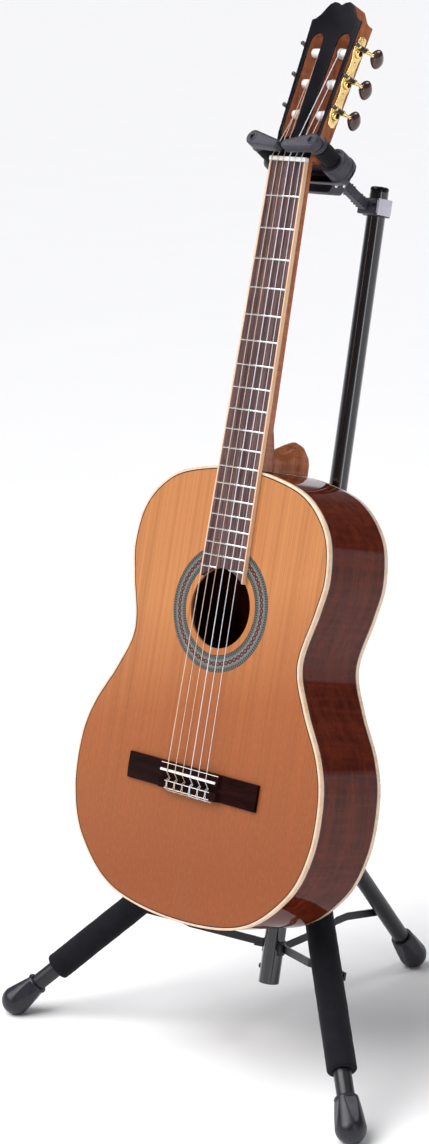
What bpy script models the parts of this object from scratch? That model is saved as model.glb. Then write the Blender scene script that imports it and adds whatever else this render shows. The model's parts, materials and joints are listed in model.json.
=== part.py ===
"""Classical guitar hanging in a folding tripod stand with a self-closing yoke.

Metres, +Z up. The origin is on the floor under the middle of the stand, the guitar's
front faces -Y and its treble side is +X. Each group of parts is built in its own frame:

guitar frame   x to the treble side, y up the neck, z out of the soundboard;
               origin on the centre line at the twelfth fret, on the soundboard
head frame     x to the treble side, y up the headstock, z out of its face
shaft frame    z up the stand's tube, -y to the front; origin where its axis meets the floor
yoke frame     z forward along the yoke's arms, y up; origin where the shank enters the yoke
leg frame      -z down the leg from its hinge, x outward, y along the hinge axis
"""
from math import atan2, cos, exp, pi, radians, sin, sqrt

import bmesh
import bpy
from mathutils import Matrix, Vector

GAP = 0.0003                       # clearance between touching parts

# Placing of the two assemblies
GUITAR_LEAN = radians(14.95)       # soundboard from the vertical
GUITAR_ORIGIN = (0.0, -0.0698, 0.6462)
SHAFT_LEAN = radians(13.48)        # stand tube from the vertical
SHAFT_FOOT_Y = -0.0618
YOKE_PITCH = radians(38.0)         # yoke axis above the horizontal
YOKE_ORIGIN = (0.0, 0.1077, 0.9252)

# Guitar
SCALE_LENGTH = 0.650
NUT_Y = SCALE_LENGTH / 2
BOARD_HALF_NUT = 0.0253
BOARD_HALF_BODY = 0.0297
BOARD_HALF_END = 0.0312
BOARD_TOP_NUT = 0.0032
BOARD_TOP_BODY = 0.0052
BOARD_END_Y = -0.120
NECK_TOP_NUT = -0.0025
NUT_TOP = 0.0046
SOUNDHOLE_Y = -0.1499
SOUNDHOLE_R = 0.0427
ROSETTE_R = (0.0503, 0.0678)
ROSETTE_DEPTH = 0.0012
PLATE = 0.0027                     # soundboard and back thickness
SIDE = 0.0022                      # side thickness
BINDING_WIDTH = 0.0026
BINDING_HEIGHT = 0.0060
DEPTH_HEEL = 0.093                 # depth of the body at the heel
DEPTH_GAIN = 0.0042                # gained towards the tail
DEPTH_REACH = 0.060
BRIDGE_Y = -0.336
BRIDGE_HALF = 0.095
BRIDGE_BLOCK_HALF = 0.0425
SADDLE_HALF = 0.0405
SADDLE_OFFSET = 0.0055
SADDLE_TOP = 0.0112
STRING_HALF_NUT = 0.0208
STRING_HALF_BRIDGE = 0.0285
STRING_RADII = (0.00056, 0.00045, 0.00037, 0.00051, 0.00041, 0.00036)

# Outline of the body's treble half, from the neck joint round to the tail
OUTLINE = ((0.046, -0.003), (0.097, -0.018), (0.131, -0.052), (0.141, -0.096),
           (0.135, -0.134), (0.122, -0.190), (0.139, -0.234), (0.166, -0.280),
           (0.178, -0.322), (0.176, -0.379), (0.153, -0.430), (0.096, -0.474),
           (0.0, -0.487))
OUTLINE_STEPS = 3

# Headstock
HEAD_TILT = radians(14.1)
HEAD_ORIGIN_Y = 0.330
HEAD_FACE_Z = -0.0005
VENEER = 0.0020
HEAD_THICKNESS = 0.0205
HEAD_LOW = (0.0290, 0.027)         # half width and height of the lower corners
HEAD_HIGH = (0.0348, 0.1570)       # half width and height of the shoulders
SLOT_R = 0.0090
SLOT_LOW = (0.0168, 0.0315)
SLOT_HIGH = (0.0188, 0.133)
ROLLER_YS = (0.0525, 0.0880, 0.1235)
ROLLER_DEPTH = 0.0110
ROLLER_R = 0.0049
AXLE_R = 0.0025
GEAR_R = 0.0043
WORM_R = 0.0022
WORM_OFFSET = 0.0070               # worm axis above the roller axis
PLATE_THICK = 0.0016
PLATE_HALF = 0.0078

# Stand
LOWER_TUBE_R = 0.0116
LOWER_TUBE_BORE = 0.0106
UPPER_TUBE_R = 0.0103
UPPER_TUBE_BORE = 0.0091
LOWER_TUBE_Z = (0.0595, 0.548)
UPPER_TUBE_Z = (0.230, 0.9410)
CLUTCH_Z = (0.520, 0.590)
HUB_Z = 0.262
HUB_HALF = 0.021
HINGE_R = 0.030                    # leg hinges from the tube's axis
FRONT_AZIMUTH = radians(61.6)      # front legs from straight ahead
FRONT_SPLAY = radians(42.9)        # front legs from the tube
REAR_SPLAY = radians(49.9)
LEG_R = 0.0095
LEG_BORE = 0.0083
BOOT_R = 0.0165
SOLE_HEIGHT = 0.0159               # centre of the boot's ball above the floor
BOOT_COLLAR = 0.0125
BOOT_LENGTH = 0.0345               # from the centre of the ball to the collar's edge
FOAM_R = 0.0158
FOAM_START = 0.128                 # from the hinge, down the leg
FOAM_END_BEFORE_BALL = 0.0635
BRACKET_Z = 0.1025
BRACE_HINGE_R = 0.018
BRACE_HEIGHT = 0.0088
BRACE_THICK = 0.0024
BRACE_INNER_OFFSET = 0.0052        # brace beside the plane of its leg, near the tube
BRACE_STEP = (0.082, 0.098)         # where the brace steps aside, from its hinge
REAR_BRACE_DROP = 0.0065           # rear brace hinge below the front ones
REAR_BRACE_BEND = (0.116, 0.0285)  # from its hinge: outward, upward
FRONT_BOLT = 0.205                 # leg hinge to brace bolt, along the leg
REAR_BOLT = 0.2095

# Yoke
ARM_X = 0.0411
ARM_Y = -0.0155
ARM_R = 0.0098
ARM_Z = (0.0795, 0.1088)
GATE_Z = (0.1093, 0.1205)
CLAMP_Z = 0.9240                   # centre of the clamp, along the tube

COLOURS = {
    "cedar": ((0.55, 0.27, 0.12), 0.30, 0.0),
    "mahogany": ((0.16, 0.045, 0.025), 0.18, 0.0),
    "cream_binding": ((0.80, 0.62, 0.42), 0.30, 0.0),
    "rosewood": ((0.075, 0.045, 0.045), 0.45, 0.0),
    "black_lacquer": ((0.01, 0.01, 0.014), 0.10, 0.0),
    "bone": ((0.88, 0.86, 0.80), 0.35, 0.0),
    "inlay": ((0.10, 0.16, 0.16), 0.40, 0.0),
    "gold": ((0.83, 0.62, 0.25), 0.25, 1.0),
    "dark_button": ((0.10, 0.04, 0.03), 0.20, 0.0),
    "wound_string": ((0.60, 0.52, 0.42), 0.30, 1.0),
    "nylon_string": ((0.85, 0.86, 0.90), 0.20, 0.0),
    "spruce": ((0.72, 0.56, 0.36), 0.60, 0.0),
    "gloss_tube": ((0.010, 0.010, 0.013), 0.18, 0.3),
    "satin_tube": ((0.020, 0.020, 0.026), 0.40, 0.3),
    "foam": ((0.008, 0.008, 0.010), 0.95, 0.0),
    "boot_rubber": ((0.035, 0.035, 0.042), 0.50, 0.0),
    "yoke_plastic": ((0.030, 0.031, 0.038), 0.45, 0.0),
    "button_silver": ((0.55, 0.55, 0.60), 0.35, 0.8),
}


# ---------------------------------------------------------------- helpers

def clear_scene():
    for old in list(bpy.data.objects):
        bpy.data.objects.remove(old, do_unlink=True)


def material(name):
    made = bpy.data.materials.get(name)
    if made:
        return made
    colour, roughness, metallic = COLOURS[name]
    made = bpy.data.materials.new(name)
    made.use_nodes = True
    shader = made.node_tree.nodes["Principled BSDF"]
    shader.inputs["Base Color"].default_value = (*colour, 1.0)
    shader.inputs["Roughness"].default_value = roughness
    shader.inputs["Metallic"].default_value = metallic
    return made


def frame(name, matrix, parent=None):
    """An empty that carries the parts built in one frame."""
    empty = bpy.data.objects.new(name, None)
    bpy.context.collection.objects.link(empty)
    empty.parent = parent
    empty.matrix_local = matrix
    return empty


def place(name, bm, parent, surface, location=(0.0, 0.0, 0.0), smooth=35.0):
    """Turns a bmesh into a named object in its parent's frame."""
    bmesh.ops.recalc_face_normals(bm, faces=bm.faces)
    mesh = bpy.data.meshes.new(name)
    bm.to_mesh(mesh)
    bm.free()
    if smooth:
        mesh.shade_smooth()
        mesh.set_sharp_from_angle(angle=radians(smooth))
    mesh.materials.append(material(surface))
    made = bpy.data.objects.new(name, mesh)
    bpy.context.collection.objects.link(made)
    made.parent = parent
    made.location = location
    return made


def boolean(target, bm, parent, operation="DIFFERENCE"):
    """Cuts a bmesh out of an object, or joins it on, with a Boolean modifier."""
    cutter = place(target.name + "_tool", bm, parent, "spruce", smooth=0.0)
    cutter.hide_render = True
    cutter.display_type = "WIRE"
    modifier = target.modifiers.new(cutter.name, "BOOLEAN")
    modifier.operation = operation
    modifier.solver = "EXACT"
    modifier.object = cutter


def move_by(bm, offset):
    bmesh.ops.translate(bm, verts=bm.verts, vec=Vector(offset))
    return bm


def turn_by(bm, angle, axis):
    turn = Matrix.Rotation(angle, 3, axis)
    bmesh.ops.rotate(bm, verts=bm.verts, cent=(0.0, 0.0, 0.0), matrix=turn)
    return bm


def loft(rings, closed=False):
    """A solid through rings of equal length, capped at its ends or closed into a loop."""
    bm = bmesh.new()
    rows = [[bm.verts.new(point) for point in ring] for ring in rings]
    pairs = list(zip(rows, rows[1:]))
    if closed:
        pairs.append((rows[-1], rows[0]))
    count = len(rows[0])
    for low, high in pairs:
        for i in range(count):
            j = (i + 1) % count
            bm.faces.new((low[i], low[j], high[j], high[i]))
    if not closed:
        bm.faces.new(list(reversed(rows[0])))
        bm.faces.new(rows[-1])
    return bm


def prism(outline, low, high):
    """An outline in x and y, extruded from low to high along z."""
    return loft([[Vector((x, y, z)) for x, y in outline] for z in (low, high)])


def ring_prism(outer, inner, low, high):
    """A band between two outlines; low and high give its z at a point."""
    corners = ((outer, low), (outer, high), (inner, high), (inner, low))
    return loft([[Vector((x, y, level(x, y))) for x, y in line] for line, level in corners], True)


def circle(radius, count, height=0.0, squash=1.0):
    turns = [2 * pi * i / count for i in range(count)]
    return [Vector((radius * cos(a), radius * squash * sin(a), height)) for a in turns]


def turned(profile, count=20):
    """A solid of revolution about z through (radius, height) points."""
    return loft([circle(radius, count, height) for radius, height in profile])


def turned_ring(profile, count=20):
    """A ring of revolution about z through a closed loop of (radius, height) points."""
    return loft([circle(radius, count, height) for radius, height in profile], True)


def tube(outer, bore, low, high, count=20):
    return turned_ring(((outer, low), (outer, high), (bore, high), (bore, low)), count)


def box(low, high):
    bm = bmesh.new()
    bmesh.ops.create_cube(bm, size=1.0)
    size = [b - a for a, b in zip(low, high)]
    middle = [(a + b) / 2 for a, b in zip(low, high)]
    bmesh.ops.scale(bm, verts=bm.verts, vec=Vector(size))
    return move_by(bm, middle)


def bevelled_box(low, high, width, segments=1):
    bm = box(low, high)
    bmesh.ops.bevel(bm, geom=list(bm.edges), offset=width, segments=segments, affect="EDGES")
    return bm


def capsule(start, end, radius, count=6):
    """An outline in x and y: a straight slot with round ends."""
    heading = atan2(end[1] - start[1], end[0] - start[0])
    points = []
    for centre, first in ((end, -pi / 2), (start, pi / 2)):
        for i in range(count + 1):
            angle = heading + first + pi * i / count
            points.append((centre[0] + radius * cos(angle), centre[1] + radius * sin(angle)))
    return points


def spline(points, steps):
    """A Catmull-Rom curve through points; the end points are only guides."""
    curve = []
    for p0, p1, p2, p3 in zip(points, points[1:], points[2:], points[3:]):
        for i in range(steps):
            t = i / steps
            weights = (-t + 2 * t * t - t ** 3, 2 - 5 * t * t + 3 * t ** 3,
                       t + 4 * t * t - 3 * t ** 3, t ** 3 - t * t)
            curve.append(tuple(sum(w * p[k] for w, p in zip(weights, (p0, p1, p2, p3))) / 2
                               for k in range(2)))
    curve.append(points[-2])
    return curve


# ---------------------------------------------------------------- guitar body

def body_outline(inset=0.0):
    """The closed outline of the body, moved inward by inset."""
    half = [(0.0, 0.0), *OUTLINE]
    guides = [(-half[1][0], half[1][1]), *half, (-half[-2][0], half[-2][1])]
    treble = spline(guides, OUTLINE_STEPS)
    bass = [(-x, y) for x, y in reversed(treble[1:-1])]
    line = treble + bass
    moved = []
    for i, (x, y) in enumerate(line):
        before = line[i - 1]
        after = line[(i + 1) % len(line)]
        tangent = Vector((after[0] - before[0], after[1] - before[1])).normalized()
        moved.append((x + tangent.y * inset, y - tangent.x * inset))
    return moved


def back_z(x, y):
    """Height of the body's back edge: the back curves in towards the heel."""
    return -DEPTH_HEEL - DEPTH_GAIN * (1 - exp(min(y, 0.0) / DEPTH_REACH))


def level(value):
    return lambda x, y: value


def make_body(guitar):
    edge = body_outline()
    inner = body_outline(BINDING_WIDTH)
    plate = body_outline(BINDING_WIDTH + GAP)
    board = place("soundboard", prism(plate, -PLATE, 0.0), guitar, "cedar")
    boolean(board, move_by(turned(((SOUNDHOLE_R, -0.01), (SOUNDHOLE_R, 0.01)), 40),
                           (0, SOUNDHOLE_Y, 0)), guitar)
    inner_r, outer_r = ROSETTE_R
    boolean(board, move_by(tube(outer_r + GAP, inner_r - GAP, -ROSETTE_DEPTH - GAP, 0.01, 40),
                           (0, SOUNDHOLE_Y, 0)), guitar)
    place("rosette", tube(outer_r, inner_r, -ROSETTE_DEPTH, 0.0, 40), guitar, "inlay",
          (0, SOUNDHOLE_Y, 0))
    place("front_binding", ring_prism(edge, inner, level(-BINDING_HEIGHT), level(0.0)),
          guitar, "cream_binding")
    place("back_binding",
          ring_prism(edge, inner, back_z, lambda x, y: back_z(x, y) + BINDING_HEIGHT),
          guitar, "cream_binding")
    place("sides", ring_prism(edge, body_outline(SIDE),
                              lambda x, y: back_z(x, y) + BINDING_HEIGHT + GAP,
                              level(-BINDING_HEIGHT - GAP)), guitar, "mahogany")
    rings = [[Vector((x, y, back_z(x, y) + rise)) for x, y in plate] for rise in (0.0, PLATE)]
    place("back_plate", loft(rings), guitar, "mahogany")
    place("neck_block", box((-0.032, -0.050, -0.0885), (0.032, -0.0062, -PLATE - GAP)),
          guitar, "spruce")


def make_fingerboard(guitar):
    stations = ((BOARD_END_Y, BOARD_HALF_END, GAP, BOARD_TOP_BODY + 0.0006),
                (0.0, BOARD_HALF_BODY, GAP, BOARD_TOP_BODY),
                (NUT_Y, BOARD_HALF_NUT, NECK_TOP_NUT + GAP, BOARD_TOP_NUT))
    rings = [[Vector((-w, y, low)), Vector((w, y, low)), Vector((w, y, high)),
              Vector((-w, y, high))] for y, w, low, high in stations]
    board = place("fingerboard", loft(rings), guitar, "rosewood")
    boolean(board, move_by(turned(((SOUNDHOLE_R, -0.01), (SOUNDHOLE_R, 0.02)), 40),
                           (0, SOUNDHOLE_Y, 0)), guitar)
    place("nut", bevelled_box((-BOARD_HALF_NUT - 0.0004, NUT_Y + GAP, NECK_TOP_NUT + GAP),
                              (BOARD_HALF_NUT + 0.0004, NUT_Y + 0.0050, NUT_TOP), 0.0006),
          guitar, "bone")


def neck_ring(y, half, top, depth, count=9):
    """A cross-section of the neck: a flat top over a rounded back."""
    ring = [Vector((-half, y, top)), Vector((half, y, top))]
    for i in range(1, count):
        angle = pi * i / count
        ring.append(Vector((half * cos(angle), y, top - depth * sin(angle) ** 0.72)))
    return ring


def heel_ring(z, reach, half, count=9):
    """A cross-section of the heel: flat on the body, rounded towards the nut."""
    ring = [Vector((half, GAP, z)), Vector((-half, GAP, z))]
    for i in range(1, count):
        angle = pi - pi * i / count
        ring.append(Vector((half * cos(angle), GAP + reach * sin(angle) ** 0.6, z)))
    return ring


def head_outline():
    """The headstock's outline in the head frame, crown included."""
    low, high = HEAD_LOW, HEAD_HIGH
    half = [(BOARD_HALF_NUT, 0.0009), (BOARD_HALF_NUT + 0.0002, 0.006), (0.0268, 0.017),
            low, high, (0.0300, 0.1588), (0.0245, 0.1636), (0.0202, 0.1700),
            (0.0163, 0.1753), (0.0106, 0.1780), (0.0050, 0.1770), (0.0, 0.1744)]
    return half + [(-x, y) for x, y in reversed(half[:-1])]


def slots(low, high):
    """The two string slots, as cutters."""
    made = []
    for side in (-1, 1):
        start = (side * SLOT_LOW[0], SLOT_LOW[1])
        end = (side * SLOT_HIGH[0], SLOT_HIGH[1])
        made.append(prism(capsule(start, end, SLOT_R), low, high))
    return made


def slot_centre(y):
    share = (y - SLOT_LOW[1]) / (SLOT_HIGH[1] - SLOT_LOW[1])
    return SLOT_LOW[0] + share * (SLOT_HIGH[0] - SLOT_LOW[0])


def head_half(y):
    share = (y - HEAD_LOW[1]) / (HEAD_HIGH[1] - HEAD_LOW[1])
    return HEAD_LOW[0] + share * (HEAD_HIGH[0] - HEAD_LOW[0])


def make_neck(guitar, head):
    rings = [neck_ring(GAP, BOARD_HALF_BODY, 0.0, 0.0218),
             neck_ring(0.150, 0.0277, NECK_TOP_NUT * 0.4615, 0.0190),
             neck_ring(NUT_Y, BOARD_HALF_NUT, NECK_TOP_NUT, 0.0165),
             neck_ring(NUT_Y + 0.0052, BOARD_HALF_NUT, NECK_TOP_NUT - 0.0004, 0.0165),
             neck_ring(NUT_Y + 0.0120, BOARD_HALF_NUT, NECK_TOP_NUT - 0.0022, 0.0165)]
    neck = place("neck", loft(rings), guitar, "mahogany")
    heel = ((-0.0012, 0.075, 0.0285), (-0.0150, 0.068, 0.0270), (-0.0220, 0.044, 0.0235),
            (-0.0300, 0.0265, 0.0195), (-0.0380, 0.0215, 0.0172), (-0.0500, 0.0245, 0.0156),
            (-0.0640, 0.0310, 0.0148), (-0.0760, 0.0352, 0.0142), (-0.0860, 0.0325, 0.0134),
            (-0.0925, 0.0255, 0.0122))
    boolean(neck, loft([heel_ring(z, reach, half) for z, reach, half in heel]), guitar, "UNION")
    outline = head_outline()
    boolean(neck, prism(outline, -HEAD_THICKNESS, -VENEER - GAP), head, "UNION")
    veneer = place("headstock_veneer", prism(outline, -VENEER, 0.0), head, "black_lacquer")
    for slot in slots(-0.03, 0.01):
        boolean(neck, slot.copy(), head)
        boolean(veneer, slot, head)
    for side in (-1, 1):
        for y in ROLLER_YS:
            bore = turned(((AXLE_R + GAP, 0.0045), (AXLE_R + GAP, 0.0450)), 12)
            turn_by(bore, side * pi / 2, "Y")
            boolean(neck, move_by(bore, (0, y, -ROLLER_DEPTH)), head)


def make_tuners(head):
    for side, hand in ((-1, "left"), (1, "right")):
        taper = atan2(HEAD_HIGH[0] - HEAD_LOW[0], HEAD_HIGH[1] - HEAD_LOW[1])
        middle_y = ROLLER_YS[1] + 0.0035
        holder = frame("tuner_frame_" + hand,
                       Matrix.Translation((side * (head_half(middle_y) + GAP), middle_y,
                                           -ROLLER_DEPTH))
                       @ Matrix.Rotation(-side * taper, 4, "Z")
                       @ Matrix.Rotation(side * pi / 2, 4, "Y"), head)
        # In this frame z points away from the headstock's side, x along its thickness.
        end = 0.052 - PLATE_HALF
        plate = place("tuner_plate_" + hand, prism(capsule((0, -end), (0, end), PLATE_HALF), 0,
                                                   PLATE_THICK), holder, "gold")
        for number, y in enumerate(ROLLER_YS, 1):
            hole = turn_by(turned(((0.0029, -0.01), (0.0029, 0.01)), 12), pi / 12, "Z")
            boolean(plate, move_by(hole, (0, y - middle_y, 0)), holder)
            side_x = head_half(y) + GAP
            make_roller("roller_%s_%d" % (hand, number), side, y, side_x, head)
            make_worm("tuner_%s_%d" % (hand, number), side * (side_x + PLATE_THICK + 0.0030), y, head)


def make_roller(name, side, y, side_x, head):
    """A string roller with its axle and gear; its axis lies across the headstock."""
    inner = slot_centre(y) - SLOT_R + 0.0006
    outer = slot_centre(y) + SLOT_R - 0.0006
    plate_top = side_x + PLATE_THICK
    profile = ((AXLE_R, inner - 0.0038), (AXLE_R, inner), (ROLLER_R, inner), (ROLLER_R, outer),
               (AXLE_R, outer), (AXLE_R, plate_top + 0.0006), (GEAR_R, plate_top + 0.0006),
               (GEAR_R, plate_top + 0.0034), (0.0022, plate_top + 0.0036),
               (0.0020, plate_top + 0.0046))
    roller = turned(profile, 12)
    turn_by(roller, side * pi / 2, "Y")
    place(name, roller, head, "bone", (0, y, -ROLLER_DEPTH))


def make_worm(name, x, y, head):
    """A worm, its shaft and the button behind it, along the headstock's thickness."""
    sections = ((0.0016, 0.0016, 0.0110), (0.0023, 0.0023, 0.0104), (0.0023, 0.0023, 0.0066),
                (WORM_R, WORM_R, 0.0062), (WORM_R, WORM_R, -0.0058), (0.0015, 0.0015, -0.0062),
                (0.0015, 0.0015, -0.0160), (0.0024, 0.0024, -0.0175), (0.0030, 0.0050, -0.0200),
                (0.0042, 0.0092, -0.0240), (0.0046, 0.0106, -0.0285), (0.0040, 0.0096, -0.0325),
                (0.0022, 0.0060, -0.0350))
    rings = [circle(rx, 12, z, ry / rx) for rx, ry, z in reversed(sections)]
    place(name, loft(rings), head, "dark_button", (x, y + WORM_OFFSET, -ROLLER_DEPTH))


def make_bridge(guitar):
    """The bridge: thin wings, and a block that carries the saddle and the string ties."""
    wing = (0.0032, 0.0040, 0.0040, 0.0040, 0.0040, 0.0036)
    block = (0.0084, 0.0090, 0.0042, 0.0042, 0.0086, 0.0080)
    ys = (-0.0143, -0.0050, -0.0042, 0.0004, 0.0012, 0.0143)
    stations = ((-BRIDGE_HALF, wing), (-BRIDGE_BLOCK_HALF - 0.0012, wing),
                (-BRIDGE_BLOCK_HALF, block), (BRIDGE_BLOCK_HALF, block),
                (BRIDGE_BLOCK_HALF + 0.0012, wing), (BRIDGE_HALF, wing))
    rings = []
    for x, heights in stations:
        ring = [Vector((x, ys[-1], GAP)), Vector((x, ys[0], GAP))]
        ring += [Vector((x, y, z)) for y, z in zip(ys, heights)]
        rings.append(ring)
    place("bridge", loft(rings), guitar, "rosewood", (0, BRIDGE_Y, 0))
    y = BRIDGE_Y + SADDLE_OFFSET
    place("saddle", bevelled_box((-SADDLE_HALF, y - 0.0013, 0.0087),
                                 (SADDLE_HALF, y + 0.0013, SADDLE_TOP), 0.0005), guitar, "bone")


def make_strings(guitar, head):
    """Six strings from the tie block over saddle and nut, each to the top of its roller."""
    to_guitar = guitar.matrix_world.inverted() @ head.matrix_world
    for number in range(6):
        share = number / 5 * 2 - 1
        radius = STRING_RADII[number]
        lift = radius + GAP
        treble = number > 2
        row = (5 - number) if treble else number
        side = 1 if treble else -1
        roller_y = ROLLER_YS[row]
        roller_x = side * (slot_centre(roller_y) + 0.0015 - 0.0028 * row)
        end = to_guitar @ Vector((roller_x, roller_y - 0.0006, -ROLLER_DEPTH + ROLLER_R + lift))
        nut_x = share * STRING_HALF_NUT
        bridge_x = share * STRING_HALF_BRIDGE
        saddle_y = BRIDGE_Y + SADDLE_OFFSET
        points = [(bridge_x, BRIDGE_Y - 0.0022, 0.0068),
                  (bridge_x, saddle_y - 0.0016, SADDLE_TOP + lift - 0.0001),
                  (bridge_x, saddle_y + 0.0016, SADDLE_TOP + lift),
                  (nut_x, NUT_Y, NUT_TOP + lift), (nut_x, NUT_Y + 0.0050, NUT_TOP + lift), end]
        curve = bpy.data.curves.new("string_%d" % (number + 1), "CURVE")
        curve.dimensions = "3D"
        curve.resolution_u = 1
        curve.render_resolution_u = 0
        curve.bevel_depth = radius
        curve.bevel_resolution = 1
        curve.use_fill_caps = True
        path = curve.splines.new("POLY")
        path.points.add(len(points) - 1)
        for point, target in zip(points, path.points):
            target.co = (*point, 1.0)
        curve.materials.append(material("nylon_string" if treble else "wound_string"))
        string = bpy.data.objects.new(curve.name, curve)
        bpy.context.collection.objects.link(string)
        string.parent = guitar


# ---------------------------------------------------------------- stand

def make_shaft(shaft):
    place("lower_tube", tube(LOWER_TUBE_R, LOWER_TUBE_BORE, *LOWER_TUBE_Z, 24), shaft, "gloss_tube")
    place("upper_tube", tube(UPPER_TUBE_R, UPPER_TUBE_BORE, *UPPER_TUBE_Z, 24), shaft, "gloss_tube")
    top = UPPER_TUBE_Z[1]
    place("tube_cap", turned(((UPPER_TUBE_BORE - GAP, top - 0.012), (UPPER_TUBE_BORE - GAP, top + GAP),
                              (UPPER_TUBE_R, top + GAP), (UPPER_TUBE_R, top + 0.0035),
                              (UPPER_TUBE_R - 0.002, top + 0.0052)), 24), shaft, "yoke_plastic")
    low, high = CLUTCH_Z
    neck = LOWER_TUBE_Z[1]
    place("height_clutch", turned_ring((
        (LOWER_TUBE_R + GAP, low), (0.0160, low), (0.0185, low + 0.008), (0.0185, high - 0.022),
        (0.0150, high - 0.006), (0.0135, high), (UPPER_TUBE_R + GAP, high),
        (UPPER_TUBE_R + GAP, neck + GAP), (LOWER_TUBE_R + GAP, neck + GAP)), 20),
        shaft, "yoke_plastic")
    make_bracket(shaft)


def make_bracket(shaft):
    """A clip round the back of the tube, with an ear for each brace."""
    low, high = BRACKET_Z - 0.0100, BRACKET_Z + 0.0055
    bracket = place("brace_bracket", tube(0.0133, LOWER_TUBE_R + GAP, low, high, 24),
                    shaft, "satin_tube")
    boolean(bracket, box((-0.02, -0.02, low - 0.001), (0.02, -0.0052, high + 0.001)), shaft)
    near = BRACE_INNER_OFFSET - BRACE_THICK / 2 - GAP
    for name, azimuth in leg_azimuths():
        side = brace_side(name)
        drop = REAR_BRACE_DROP if name == "rear" else 0.0
        ys = sorted((side * (near - 0.0040), side * near))
        ear = box((0.0122, ys[0], BRACKET_Z - drop - 0.0048),
                  (BRACE_HINGE_R + 0.0045, ys[1], BRACKET_Z - drop + 0.0048))
        bmesh.ops.transform(ear, matrix=spoke_frame(azimuth), verts=ear.verts)
        boolean(bracket, ear, shaft, "UNION")


def brace_side(name):
    """Each brace passes behind its leg, and the rear one to the bass side."""
    return -1 if name == "left" else 1


def spoke_frame(azimuth):
    """Turns x to the outward direction at an azimuth from straight ahead."""
    return Matrix.Rotation(azimuth - pi / 2, 4, "Z")


def leg_azimuths():
    return (("left", -FRONT_AZIMUTH), ("right", FRONT_AZIMUTH), ("rear", pi))


def add_fins(target, shaft, low, high):
    """Joins on a fin for each leg; low and high are its corners in the leg's spoke frame."""
    for _, azimuth in leg_azimuths():
        fin = box(low, high)
        bmesh.ops.transform(fin, matrix=spoke_frame(azimuth), verts=fin.verts)
        boolean(target, fin, shaft, "UNION")


def make_hub(shaft):
    hub = place("leg_hub", tube(0.0146, LOWER_TUBE_R + GAP, HUB_Z - HUB_HALF, HUB_Z + HUB_HALF, 24),
                shaft, "yoke_plastic")
    add_fins(hub, shaft, (0.0130, -0.0025, HUB_Z - 0.0085), (HINGE_R + 0.0050, 0.0025, HUB_Z + 0.0085))
    knob_azimuth = radians(121.0)
    boss = turned(((0.0070, 0.0128), (0.0070, 0.0200)), 16)
    turn_by(boss, pi / 2, "Y")
    bmesh.ops.transform(boss, matrix=Matrix.Translation((0, 0, HUB_Z)) @ spoke_frame(knob_azimuth),
                        verts=boss.verts)
    boolean(hub, boss, shaft, "UNION")
    holder = frame("hub_knob_frame", Matrix.Translation((0, 0, HUB_Z)) @ spoke_frame(knob_azimuth)
                   @ Matrix.Rotation(pi / 2, 4, "Y"), shaft)
    lobes = []
    for height, scale in ((0.0215, 0.92), (0.0235, 1.0), (0.0345, 1.0), (0.0370, 0.88)):
        ring = []
        for i in range(20):
            angle = 2 * pi * i / 20
            radius = scale * (0.0150 + 0.0020 * cos(5 * angle))
            ring.append(Vector((radius * cos(angle), radius * sin(angle), height)))
        lobes.append(ring)
    place("hub_knob", loft(lobes), holder, "yoke_plastic")


def make_leg(name, azimuth, splay, bolt, foam, shaft, guitar):
    """A leg with its rubber boot, its foam sleeve if it has one, and its brace."""
    hinge = Matrix.Translation((0, 0, HUB_Z)) @ spoke_frame(azimuth) @ Matrix.Translation((HINGE_R, 0, 0))
    leg = frame("leg_frame_" + name, hinge @ Matrix.Rotation(-splay, 4, "Y"), shaft)
    bpy.context.view_layer.update()
    down = leg.matrix_world.to_3x3() @ Vector((0, 0, -1))
    length = (SOLE_HEIGHT - leg.matrix_world.translation.z) / down.z
    collar = length - BOOT_LENGTH
    pipe = place("leg_" + name, tube(LEG_R, LEG_BORE, -collar - 0.018, 0.0065, 20), leg, "satin_tube")
    boolean(pipe, box((-0.02, -0.0029, -0.0190), (0.02, 0.0029, 0.0080)), leg)
    make_boot(name, leg, length)
    if foam:
        foot = length - FOAM_END_BEFORE_BALL
        sleeve = place("foam_" + name, turned_ring((
            (FOAM_R - 0.0015, -foot), (FOAM_R, -foot + 0.0015), (FOAM_R, -FOAM_START - 0.0015),
            (FOAM_R - 0.0015, -FOAM_START), (LEG_R + GAP, -FOAM_START), (LEG_R + GAP, -foot)), 20),
            leg, "foam")
        # The foam gives way under the edge of the guitar's back.
        boolean(sleeve, prism(body_outline(-GAP), back_z(0, -0.45) - GAP, -0.05), guitar)
    make_brace(name, azimuth, splay, bolt, foam, shaft)


def make_boot(name, leg, length):
    """A rubber foot: a collar over the leg's end, swelling into a ball with a flat sole."""
    bottom = []
    for i in range(1, 6):
        angle = pi / 2 * i / 6
        bottom.append((BOOT_R * cos(angle), -length - BOOT_R * sin(angle)))
    profile = [(LEG_R + GAP, -length + BOOT_LENGTH), (BOOT_COLLAR - 0.0008, -length + BOOT_LENGTH),
               (BOOT_COLLAR, -length + BOOT_LENGTH - 0.0010), (0.0150, -length + 0.0120),
               (BOOT_R, -length), *bottom, (0.0015, -length - BOOT_R)]
    socket = [(0.0015, -length + 0.0160), (LEG_R + GAP, -length + 0.0160)]
    boot = place("boot_" + name, turned(socket + profile), leg, "boot_rubber")
    boolean(boot, box((-0.6, -0.6, -0.1), (0.6, 0.6, 0.0)), None)


def along(line, x):
    """Height at x of a line through (x, height) points."""
    for (x0, z0), (x1, z1) in zip(line, line[1:]):
        if x <= x1:
            break
    return z0 + (z1 - z0) * (x - x0) / (x1 - x0)


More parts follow.
